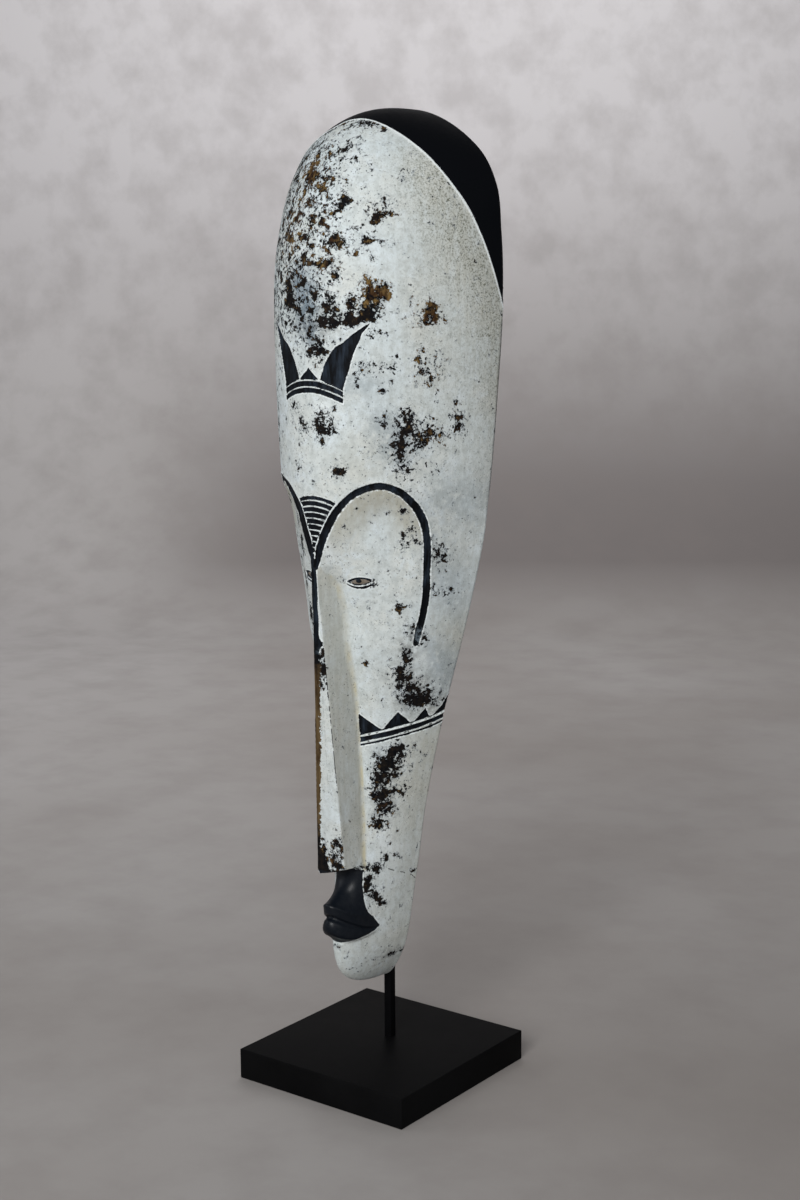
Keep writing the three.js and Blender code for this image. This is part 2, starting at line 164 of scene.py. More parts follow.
# The mask in its own upright frame, in millimetres: x across, y behind the flat back, z up from the chin
mask = {
    "height": 834.0,
    "lift": 97.0,
    "back": 6.3,
    "leanBackDegrees": 1.2,
    "leanSideDegrees": 1.2,
    # height, half width and depth of the egg
    "stations": [
        (30, 21.2, 76), (90, 32.4, 78), (125, 37.3, 76), (180, 44, 68.5), (270, 62, 71), (360, 84.9, 100.9),
        (425, 98.9, 122), (450, 103.4, 125.2), (480, 106.4, 125.4), (600, 114, 135), (720, 112, 131.5),
        (765, 104.6, 115.6), (800, 80.9, 95.5),
    ],
    "chinRound": (3.7, 280.0),
    "crownRound": (82.0, 262.0),
    # height, and how sharply the section falls away towards the rim
    "keenness": [
        (0, 0.72), (260, 0.72), (340, 0.75), (400, 0.84), (450, 0.87), (472, 0.77), (485, 0.69), (497, 0.655),
        (834, 0.63),
    ],
    "rimRound": 0.9,
    # the rounding follows slopes up to this, and fades where the tips are narrower than this
    "rimSlope": 6.0,
    "tipWide": 3.0,
    "inset": 0.25,
    # hand carving leaves the surface a little uneven
    "uneven": {"broad": 55.0, "deep": 0.7, "small": 13.0, "slight": 0.22},
}

nose = {
    "tip": 124.0,
    "root": 440.0,
    "tipHalf": 17.7,
    "rootHalf": 2.0,
    "tipDepth": 89.7,
    "rootDepth": 125.0,
    "slant": 0.3,
    "slantFade": 30.0,
    "slantReach": 12.0,
    # where handling has rounded it: how far from there, and rounds of smoothing
    "rounding": (("corner", 7.0, 40), ("tip", 4.0, 6), ("edge", 2.6, 12)),
    "flare": [(124, 0.6), (260, 0.8), (320, 3), (370, 4.5), (440, 5)],
}

brow = {
    "half": 3.6,
    # thicker where both lines meet, and on the far side; the fades are distances across
    "thicker": 0.4,
    "thickerFade": (12, 34),
    "farThicker": 4.0,
    "farRise": (415, 430),
    "farFade": (30, 55),
    # thinner at the foot of the line and at its tail
    "foot": 0.55,
    "footRise": (416, 440),
    "footFade": (10, 16),
    "tail": 0.15,
    "tailHeights": (362, 344),
    "tailFrom": 40.0,
    "deep": 1.9,
    "wall": 1.8,
    "lip": 0.6,
    "lipRise": (380, 420),
    "step": 1.6,
    "stepRise": (330, 390),
    "line": [
        (3, 418), (8.5, 438), (16.6, 457.5), (23.6, 470.5), (39.6, 487), (58, 494.3),
        (70, 488.8), (77.2, 472), (78.9, 448), (76.4, 418), (71.8, 384), (63, 347),
    ],
    "cheekFold": [(54, 322), (48, 290), (43, 240)],
    # height, scoop over the whole panel, and more of it beside the nose
    "scoop": [
        (240, 0, 0), (265, 0, 0.6), (320, 0, 6.5), (345, 0, 9), (370, 4, 10), (400, 8.5, 6), (425, 11, 4),
        (450, 10.5, 2), (485, 7, 0),
    ],
    "scoopEdge": 24.0,
    "besideNose": 14.0,
    "besideSpread": 24.0,
}

mouth = {
    "top": 124.0,
    "corner": 63.5,
    "bottom": 52.0,
    "topHalf": 19.0,
    "cornerHalf": 22.8,
    "droop": 18.4,
    # how deep the slit is cut and how far both lips stand out, with the height and spread of each
    "grooves": [(2.6, 81.0, 1.3), (-0.8, 93.5, 1.4), (-1.5, 69.0, 7.5)],
    # heights between which the corners droop
    "droopRise": (50, 62),
    "droopFade": (92, 120),
    # how far out the paint goes on the far side, below and above these heights
    "farLow": 30.0,
    "farHalf": 14.0,
    "farRise": (88, 102),
    # height and depth of the lips down the middle
    "profile": [
        (46, 75), (50, 77), (53.5, 79), (58, 83), (64, 89.5), (69, 92.5), (75, 93), (78.5, 92), (81, 90),
        (83.5, 92.5), (88, 94), (93.5, 93.5), (96.5, 88), (100, 81.5), (105, 74.5), (112, 69.5), (120, 67.5),
        (127, 67),
    ],
    # edge of the black paint
    "paint": [
        (-3, 124.5), (18, 124.5), (17.4, 119.8), (17.2, 109.8), (18.4, 94.9), (19.8, 86.6), (21.1, 78.3),
        (22.2, 70.5), (22.9, 66.0), (22.3, 62.2), (20.4, 59.3), (17, 57), (12.5, 55.2), (6, 54), (-3, 53.6),
    ],
}

eye = {
    "x": 29.3, "z": 405.2, "halfLong": 13.2, "halfHigh": 5.0, "tiltDegrees": 7.5, "around": (18, 9),
    "pupil": 1.9,
    # black lines along the lids: how far inside the lid's edge, and half width
    "upper": (2.2, 0.95), "lower": (1.8, 0.4), "fold": -0.85,
    "rim": 0.55, "sunk": 1.5, "ball": 0.9, "foldDeep": 0.5,
}
# A crack beside the mouth
crack = {"path": [(29.2, 122.1), (31.8, 117.5), (33.2, 115), (34.6, 109.8), (34.4, 102)], "deep": 0.5}
# The hairline lies on a slanting plane, and wanders off it across the crown: x, and how far to the front
coif = {
    "rim": 650.0,
    "rise": 2.35,
    "step": 0.4,
    "lip": 0.8,
    "lipFade": (3, 16),
    "wander": [(-120, 14), (-40, 13), (-20, 11), (-8, 5), (8, 2), (24, 2.2), (48, 3.3), (70, 3.6), (92, 2.6),
               (106, -2), (115, -2)],
}
hollow = {
    "low": 58.0, "high": 772.0, "rimWall": 14.0, "frontWall": 27.0, "least": 6.0,
    "rings": 16, "gouge": 26.0, "gougeDeep": 0.035,
}

crest = {
    "bandHalf": 33.0,
    "bandDrop": 130.0,
    "lines": (586.3, 580.3),
    "bottom": 575.3,
    "lineHalf": 0.5,
    "deep": 1.1,
    "horn": [
        (11.8, 586.8), (13.2, 592), (15, 595.8), (17.6, 602), (21, 607.3), (24.5, 613), (28.2, 617.1),
        (34, 620.5), (39, 625), (46, 631.5), (54.3, 637.5), (51, 632), (48.7, 629), (45, 618.6),
        (41.8, 609.8), (39.4, 601.1), (36.9, 592.3), (34.3, 583.5), (33, 578.2), (22, 583),
    ],
    "point": [(-3, 597.5), (0, 596.8), (11, 586.8), (-3, 586.8)],
}

fan = {
    "top": 483.0, "drop": 100.0, "dome": (-3, 0, 6, 12, 18, 24, 27.5), "flank": 28.0,
    "first": 479.0, "pitch": 5.3, "count": 10, "lineHalf": 0.6, "gap": 1.1, "deep": 0.9,
}

# Cheek band: angles round the section in degrees, heights above the band
cheek = {
    "low": 250.7,
    "rise": 16.3,
    "from": 11.5,
    "second": 6.8,
    "top": 2.4,
    "bottom": 9.8,
    "lineHalf": 0.95,
    "inside": 0.9999,
    "deep": 1.1,
    "teeth": [
        (11.5, 11.5, 33.0, 22.0), (30.0, 42.0, 54.0, 16.5), (53.5, 63.0, 68.6, 12.8),
        (69.2, 90.0, 90.0, 17.5),
    ],
}


# Both ends of the egg are round, so its sizes are kept as a share of a half circle
def eggAngle(z):
    return np.arccos(np.clip(1 - 2 * np.asarray(z, float) / mask["height"], -1, 1))


def eggSide(column, tips):
    ends = [math.sqrt(radius * mask["height"] / 2) for radius in tips]
    inner = [(eggAngle(s[0]), s[column] / math.sin(eggAngle(s[0]))) for s in mask["stations"]]
    share = smoothThrough([(0, ends[0]), *inner, (math.pi, ends[1])])
    return lambda z: np.sin(eggAngle(z)) * share(eggAngle(z))


halfWidth = eggSide(1, (mask["chinRound"][0], mask["crownRound"][0]))
eggMiddle = eggSide(2, (mask["chinRound"][1], mask["crownRound"][1]))
keenness = smoothThrough(mask["keenness"])
noseFlare = smoothThrough(nose["flare"])
scoopWide = smoothThrough([(z, wide) for z, wide, near in brow["scoop"]])
scoopNear = smoothThrough([(z, near) for z, wide, near in brow["scoop"]])
lipProfile = smoothThrough(mouth["profile"])
hairWander = smoothThrough(coif["wander"])

browLine = curvedThrough(brow["line"], 81)
panelEdge = np.vstack([browLine, brow["cheekFold"]])
panelLoop = np.vstack([panelEdge, [(-1, brow["cheekFold"][-1][1]), (-1, brow["line"][0][1])]])


def eggDepth(x, z):
    share = np.clip(1 - (x / np.maximum(halfWidth(z), 1e-6)) ** 2, 0, 1)
    return eggMiddle(z) * share ** keenness(z)


def noseShare(z):
    return np.clip((z - nose["tip"]) / (nose["root"] - nose["tip"]), 0, 1)


def noseHalf(z):
    return between(nose["tipHalf"], nose["rootHalf"], noseShare(z))


# The panel under each brow is a shallow scoop, deepest beside the nose
def panelRecess(x, z):
    edge = distanceTo(np.stack([x, z], axis=1), panelEdge, 60.0)
    inside = np.where(insideOutline(x, z, panelLoop), edge, 0)
    step = brow["step"] * easeStep(inside, 0, 3) * easeStep(z, *brow["stepRise"])
    wide = scoopWide(z) * easeStep(inside, 0, brow["scoopEdge"])
    near = scoopNear(z) * bell(x, brow["besideNose"], brow["besideSpread"]) * easeStep(inside, 0, 10)
    return step + wide + near


def mouthHalf(z):
    down = np.clip((mouth["top"] - z) / (mouth["top"] - mouth["corner"]), 0, 1)
    low = np.clip((mouth["corner"] - z) / (mouth["corner"] - mouth["bottom"]), 0, 1)
    above = between(mouth["topHalf"], mouth["cornerHalf"], down ** 2)
    return np.where(z >= mouth["corner"], above, mouth["cornerHalf"] * np.sqrt(1 - low ** 2.4))


def lipDroop(x, z):
    share = easeStep(z, *mouth["droopRise"]) * (1 - easeStep(z, *mouth["droopFade"]))
    return mouth["droop"] * (x / mouth["cornerHalf"]) ** 2 * share


def ridgeDepth(z):
    return between(nose["tipDepth"], nose["rootDepth"], noseShare(z))


# How far in front of the back plane the face stands, before grooves; withNose leaves the nose on or off
def faceDepth(xSigned, z, withNose=True):
    x = np.abs(xSigned)
    out = eggDepth(x, z) - panelRecess(x, z)
    half = mouthHalf(z)
    inMouth = (z < mouth["top"]) & (z > mouth["bottom"]) & (x < half)
    edge = eggDepth(half, z)
    fullness = np.clip(1 - (x / np.maximum(half, 1e-6)) ** 2, 0, 1) ** 0.6
    out = np.where(inMouth, edge + (lipProfile(z + lipDroop(x, z)) - edge) * fullness, out)
    if not withNose:
        return out
    side = np.clip((x - noseHalf(z)) / noseFlare(z), 0, 1)
    onNose = (z >= nose["tip"]) & (z < nose["root"])
    return np.where(onNose, np.maximum(out, between(ridgeDepth(z), out, side)), out)


def tipTilt(x, z):
    fade = 1 - easeStep(np.abs(x), nose["tipHalf"], nose["slantFade"])
    reach = np.clip(x, -nose["tipHalf"], nose["tipHalf"]) * fade
    return nose["slant"] * reach * bell(z, nose["tip"], nose["slantReach"])


# The face is a grid of columns and rows. The first columns follow the edges of the nose, and a few rows
# run out along the flat underside of its tip.
grid = {
    "ridgeColumns": 4,
    "sideColumns": 3,
    "cheekColumns": 28,
    "row": 5.4,
    "samples": 4001,
    "underRows": 7,
    "underSpread": 4.0,
    "underReach": (1.0, 14.0),
    # the most of the half width that the nose's ridge and its foot take
    "ridgeShare": 0.56,
    "footShare": 0.62,
    # edge lengths from coarse to finest, the distances from a painted edge where the finer ones start, how
    # much longer an edge may be, and how often it may be cut
    "sizes": (5.5, 2.6, 1.3, 0.66),
    "reaches": (11.0, 5.0, 1.5),
    "eyeSize": 0.5,
    "slack": 1.45,
    "levels": 7,
    "weld": 0.02,
}


def rowTable():
    turn = np.linspace(0, math.pi, grid["samples"])
    z = mask["height"] / 2 * (1 - np.cos(turn))
    run = np.concatenate([[0], np.cumsum(np.hypot(np.diff(z), np.diff(eggMiddle(z))))])
    spots = np.linspace(0, run[-1], round(run[-1] / grid["row"]) + 1)
    heights = np.interp(spots, run, z)
    heights[0], heights[-1] = 0, mask["height"]
    spread, count = grid["underSpread"], grid["underRows"]
    low = heights[heights < nose["tip"] - spread - 1]
    high = heights[heights > nose["tip"] + spread + 1]
    under = nose["tip"] + np.linspace(-spread, spread, count)
    share = np.concatenate([low * 0, np.linspace(0, 1, count), high * 0 + 1])
    pinned = np.concatenate([low * 0, under * 0 + 1, high * 0])
    return np.concatenate([low, under, high]), share, pinned


rowHeight, rowShare, rowPinned = rowTable()


# Places on the face from places on the grid: across from -1 to 1, along from 0 at the chin to 1
def facePoints(across, along):
    index = np.arange(len(rowHeight))
    z, share, pinned = [np.interp(along * index[-1], index, row) for row in (rowHeight, rowShare, rowPinned)]
    columns = grid["ridgeColumns"] + grid["sideColumns"] + grid["cheekColumns"]
    ridgeEnd = grid["ridgeColumns"] / columns
    sideEnd = (grid["ridgeColumns"] + grid["sideColumns"]) / columns
    out = np.abs(across)
    wide = np.maximum(halfWidth(z), 1e-6)
    half = np.minimum(noseHalf(z), wide * grid["ridgeShare"])
    foot = np.minimum(noseHalf(z) + noseFlare(z), wide * grid["footShare"])
    start = np.arcsin(foot / wide)
    turn = start + (math.pi / 2 - start) * np.clip((out - sideEnd) / (1 - sideEnd), 0, 1)
    onSide = between(half, foot, (out - ridgeEnd) / (sideEnd - ridgeEnd))
    x = np.where(out < sideEnd, onSide, wide * np.sin(turn))
    x = np.where(out < ridgeEnd, half * out / ridgeEnd, x)
    tipReach = 1 - easeStep(x, *[nose["tipHalf"] + more for more in grid["underReach"]])
    z = z + pinned * tipReach * (nose["tip"] - z)
    below = faceDepth(x, np.minimum(z, nose["tip"] - 0.01), withNose=False)
    depth = between(below, faceDepth(x, np.maximum(z, nose["tip"])), share)
    # the outer edge of the rim is a little round
    slope = halfWidth(np.minimum(z + 0.5, mask["height"])) - halfWidth(np.maximum(z - 0.5, 0))
    slope = np.clip(slope, -mask["rimSlope"], mask["rimSlope"])
    inset = mask["rimRound"] * (1 - np.sqrt(1 - np.clip(1 - depth / mask["rimRound"], 0, 1) ** 2))
    x = x - inset * np.minimum(1, wide / mask["tipWide"]) / np.hypot(1, slope)
    z = z + inset * slope / np.hypot(1, slope)
    signed = np.sign(across) * x
    return np.stack([signed, -depth, z + tipTilt(signed, z)], axis=1)


# A flat outline or line laid on the face
def onFace(path):
    path = np.asarray(path, float)
    x, z = path[:, 0], path[:, 1]
    return np.stack([x, -faceDepth(x, z), z], axis=1)


# Signed distance to a closed outline on the face, less than nothing inside
def outlineDistance(points, corners):
    closed = shortSteps([*corners, corners[0]])
    edge = distanceTo(points, onFace(closed))
    inside = insideOutline(points[:, 0], points[:, 2], np.array(corners, float))
    return np.where(inside, -edge, edge)


# A point beside the cheek band, round the section and above the band's own line
def bandSpot(degrees, above):
    z = cheek["low"] + cheek["rise"] * np.radians(degrees) + above
    return (float(halfWidth(z) * math.sin(math.radians(degrees)) * cheek["inside"]), float(z))


# A groove with a soft wall, cut where the ink is less than nothing
def groove(ink, deep, wall, lip=0.1):
    return deep * (1 - easeStep(ink, -wall, lip))


# Points of a line that bows down to both sides
def bowed(places, top, drop):
    return [(q, top - q * q / drop) for q in places]


# Each carved shape gives its black paint as a signed distance on the face, the white lines in it where it has
# any, and the depth that is cut. Points come folded to one side, because the carving is alike left and right.
def browShape(spots, onFarSide):
    x, z = spots[:, 0], spots[:, 2]
    edge = distanceTo(spots, onFace(browLine))
    tail = 1 - brow["tail"] * easeStep(z, *brow["tailHeights"]) * (x > brow["tailFrom"])
    thicker = brow["thicker"] * (1 - easeStep(x, *brow["thickerFade"]))
    farRise = easeStep(z, *brow["farRise"])
    farThicker = brow["farThicker"] * onFarSide * farRise * (1 - easeStep(x, *brow["farFade"]))
    fromFoot = np.maximum(easeStep(z, *brow["footRise"]), easeStep(x, *brow["footFade"]))
    ink = edge - (brow["half"] + thicker + farThicker) * tail * between(brow["foot"], 1, fromFoot)
    outside = ~insideOutline(x, z, panelLoop)
    lip = brow["lip"] * bell(ink, 1.1, 0.8) * outside * easeStep(z, *brow["lipRise"])
    return ink, groove(ink, brow["deep"] * tail, brow["wall"]) - lip


def fanShape(spots, browInk):
    x, z = spots[:, 0], spots[:, 2]
    dome = bowed(fan["dome"], fan["top"], fan["drop"])
    flank = [tuple(p) for p in browLine if p[0] < fan["flank"]][::-1]
    ink = outlineDistance(spots, [*dome, *flank, (-3, brow["line"][0][1])])
    ink = np.maximum(ink, fan["gap"] - browInk)
    step = (fan["first"] - (z + x * x / fan["drop"])) / fan["pitch"]
    nearest = np.clip(np.round(step), 0, fan["count"] - 1)
    line = np.abs(step - nearest) * fan["pitch"] - fan["lineHalf"]
    cut = groove(ink, fan["deep"], 0.8, 0.2) * easeStep(line, -0.1, 0.7)
    return ink, np.where(ink < 0.3, line, farAway), cut


def crestShape(spots):
    x, z = spots[:, 0], spots[:, 2]
    across = np.linspace(-3, crest["bandHalf"], 8)
    upper = bowed(across, crest["lines"][0] + crest["lineHalf"], crest["bandDrop"])
    lower = bowed(across[::-1], crest["bottom"], crest["bandDrop"])
    ink = np.minimum(outlineDistance(spots, crest["horn"]), outlineDistance(spots, crest["point"]))
    bandInk = outlineDistance(spots, [*upper, *lower])
    level = z + x * x / crest["bandDrop"]
    line = np.minimum.reduce([np.abs(level - at) - crest["lineHalf"] for at in crest["lines"]])
    line = np.where(x < crest["bandHalf"] + 2, line, farAway)
    cut = groove(ink, crest["deep"], 0.9) + groove(bandInk, crest["deep"], 0.7) * easeStep(line, -0.1, 0.7)
    return np.minimum(ink, bandInk), np.where(bandInk < 0.3, line, farAway), cut


def cheekShape(spots):
    x, z = spots[:, 0], spots[:, 2]
    teeth = np.full(len(x), farAway)
    for start, peak, end, high in cheek["teeth"]:
        halfway = [((start + peak) / 2, high / 2), ((peak + end) / 2, high / 2), ((start + end) / 2, 0)]
        corners = [(start, 0), halfway[0], (peak, high), halfway[1], (end, 0), halfway[2]]
        teeth = np.minimum(teeth, outlineDistance(spots, [bandSpot(*corner) for corner in corners]))
    angles = np.linspace(cheek["from"], 90, 16)
    upper = [bandSpot(a, cheek["top"]) for a in angles]
    lower = [bandSpot(a, -cheek["bottom"]) for a in angles[::-1]]
    stripe = outlineDistance(spots, [*upper, *lower])
    line = np.full(len(x), farAway)
    for drop in (0, cheek["second"]):
        path = shortSteps([bandSpot(a, -drop) for a in angles])
        line = np.minimum(line, distanceTo(spots, onFace(path)) - cheek["lineHalf"])
    onNose = (z > nose["tip"]) & (x < noseHalf(z) + noseFlare(z) + 0.35)
    teeth, stripe = np.where(onNose, farAway, teeth), np.where(onNose, farAway, stripe)
    cut = groove(teeth, cheek["deep"], 0.9) + groove(stripe, cheek["deep"], 0.7) * easeStep(line, -0.1, 0.8)
    return np.minimum(teeth, stripe), np.where(stripe < 1.5, line, farAway), cut


def eyeShape(spots):
    x, z = spots[:, 0] - eye["x"], spots[:, 2] - eye["z"]
    tilt = math.radians(eye["tiltDegrees"])
    across = x * math.cos(tilt) + z * math.sin(tilt)
    up = z * math.cos(tilt) - x * math.sin(tilt)
    toEnd = eye["halfLong"] - np.abs(across)
    lid = eye["halfHigh"] * np.clip(1 - (np.abs(across) / eye["halfLong"]) ** 2, 0, 1) ** 0.85
    inLid = np.minimum(lid - np.abs(up), toEnd * 0.45)
    near = np.exp(-(((across / eye["around"][0]) ** 2 + (up / eye["around"][1]) ** 2) ** 2))
    lines = [np.abs(inLid - inside) - half for inside, half in (eye["upper"], eye["lower"])]
    pupil = (np.hypot((across + 0.8) / 1.35, up - 0.3) - eye["pupil"]) * 0.8
    fold = np.abs(inLid - eye["fold"]) - easeStep(toEnd, 0, 4)
    fold = np.where((up < 0) & (toEnd > 0), fold, farAway)
    ink = np.minimum.reduce([np.where(up > 0, *lines), pupil, fold])
    sunk = eye["sunk"] * easeStep(inLid, 1.0, 1.9) - eye["ball"] * easeStep(inLid, 1.9, 3.6)
    rim = eye["rim"] * bell(inLid, 0.7, 0.55) * near
    under = eye["foldDeep"] * bell(inLid, -0.9, 0.8) * (up < 0) * near
    return {
        "ink": np.where(near > 0.3, ink, farAway),
        "ball": np.where(near > 0.3, 2.0 - inLid, farAway),
        "cut": np.where(near > 0.02, sunk - rim + under, 0),
        "edge": np.abs(inLid) + 30 * (near < 0.05),
    }


def mouthShape(spots, onFarSide):
    x, z, depth = spots[:, 0], spots[:, 2], -spots[:, 1]
    paint = outlineDistance(spots, mouth["paint"])
    farHalf = between(mouth["farLow"], mouth["farHalf"], easeStep(z, *mouth["farRise"]))
    farLimit = x - farHalf - 20 * (z > nose["tip"] - 1)
    paint = np.where(onFarSide, np.maximum(paint, farLimit), paint)
    under = (np.abs(z - nose["tip"]) < 1) & (x < nose["tipHalf"] + 1) & (depth < nose["tipDepth"] - 4)
    level = z + lipDroop(x, z)
    cut = sum(deep * bell(level, at, spread) for deep, at, spread in mouth["grooves"])
    return np.minimum(paint, np.where(under, -2, farAway)), cut * easeStep(-paint, 0.3, 2.5)


def coifShape(points):
    x, z, depth = points[:, 0], points[:, 2], -points[:, 1]
    ink = (coif["rim"] + coif["rise"] * depth - z) / math.hypot(1, coif["rise"]) - hairWander(x)
    lip = coif["lip"] * easeStep(depth, *coif["lipFade"]) * bell(ink, 1.0, 0.9)
    return ink, groove(ink, coif["step"], 0.7) - lip


def carvedFields(points):
    spots = points.copy()
    spots[:, 0] = np.abs(spots[:, 0])
    onFarSide = points[:, 0] < 0
    browInk, browCut = browShape(spots, onFarSide)
    inks, lines, cuts = zip(fanShape(spots, browInk), crestShape(spots), cheekShape(spots))
    eyes = eyeShape(spots)
    lips, lipCut = mouthShape(spots, onFarSide)
    hair, hairCut = coifShape(points)
    split = distanceTo(points, onFace(shortSteps(crack["path"], 1.5)))
    return {
        "ink": np.minimum.reduce([browInk, *inks, eyes["ink"], lips, hair]),
        "line": np.minimum.reduce(lines),
        "ball": eyes["ball"],
        "coif": hair,
        "cut": browCut + sum(cuts) + eyes["cut"] + lipCut + hairCut + groove(split, crack["deep"], -0.1, 0.8),
        "lips": lips,
        "eye": eyes["edge"],
        "crack": split - 0.3,
    }


# How fine the mesh has to be at each point
def wantedSize(points, fields):
    x, z, depth = np.abs(points[:, 0]), points[:, 2], -points[:, 1]
    edge = np.minimum(np.abs(fields["ink"]), np.abs(fields["line"]))
    coarse, middle, fine, finest = grid["sizes"]
    size = np.full(len(x), coarse)
    for reach, finer in zip(grid["reaches"], (middle, fine, finest)):
        size = np.where(edge < reach, finer, size)
    onTip = (np.abs(z - nose["tip"]) < 8) & (x < nose["tipHalf"] + 3) & (depth > 60)
    onEdge = (z > nose["tip"]) & (z < nose["root"] - 20) & (np.abs(x - noseHalf(z)) < 2.5)
    finer = [
        (fields["eye"] < 3, grid["eyeSize"]), (fields["crack"] < 1, finest),
        (onTip | onEdge | (fields["lips"] < 1), fine), (depth < 3.5, middle),
    ]
    for place, most in finer:
        size = np.where(place, np.minimum(size, most), size)
    return np.where((fields["coif"] < -4) & (depth > 4), coarse, size)


def gridSpots(bm):
    bm.verts.ensure_lookup_table()
    bm.verts.index_update()
    return np.array([vertex.co[:2] for vertex in bm.verts]).T


# Faces whose edges are longer than wanted are cut, level by level
def refineGrid(bm):
    for level in range(grid["levels"]):
        points = facePoints(*gridSpots(bm))
        wanted = wantedSize(points, carvedFields(points))
        first, second = np.array([[end.index for end in edge.verts] for edge in bm.edges]).T
        length = np.linalg.norm(points[first] - points[second], axis=1)
        long = length > np.minimum(wanted[first], wanted[second]) * grid["slack"]
        cut = [edge for edge, isLong in zip(bm.edges, long) if isLong]
        if not cut:
            break
        bmesh.ops.subdivide_edges(bm, edges=cut, cuts=1, use_grid_fill=True)
        print("mask grid, level", level, "edges cut", len(cut), "faces", len(bm.faces))


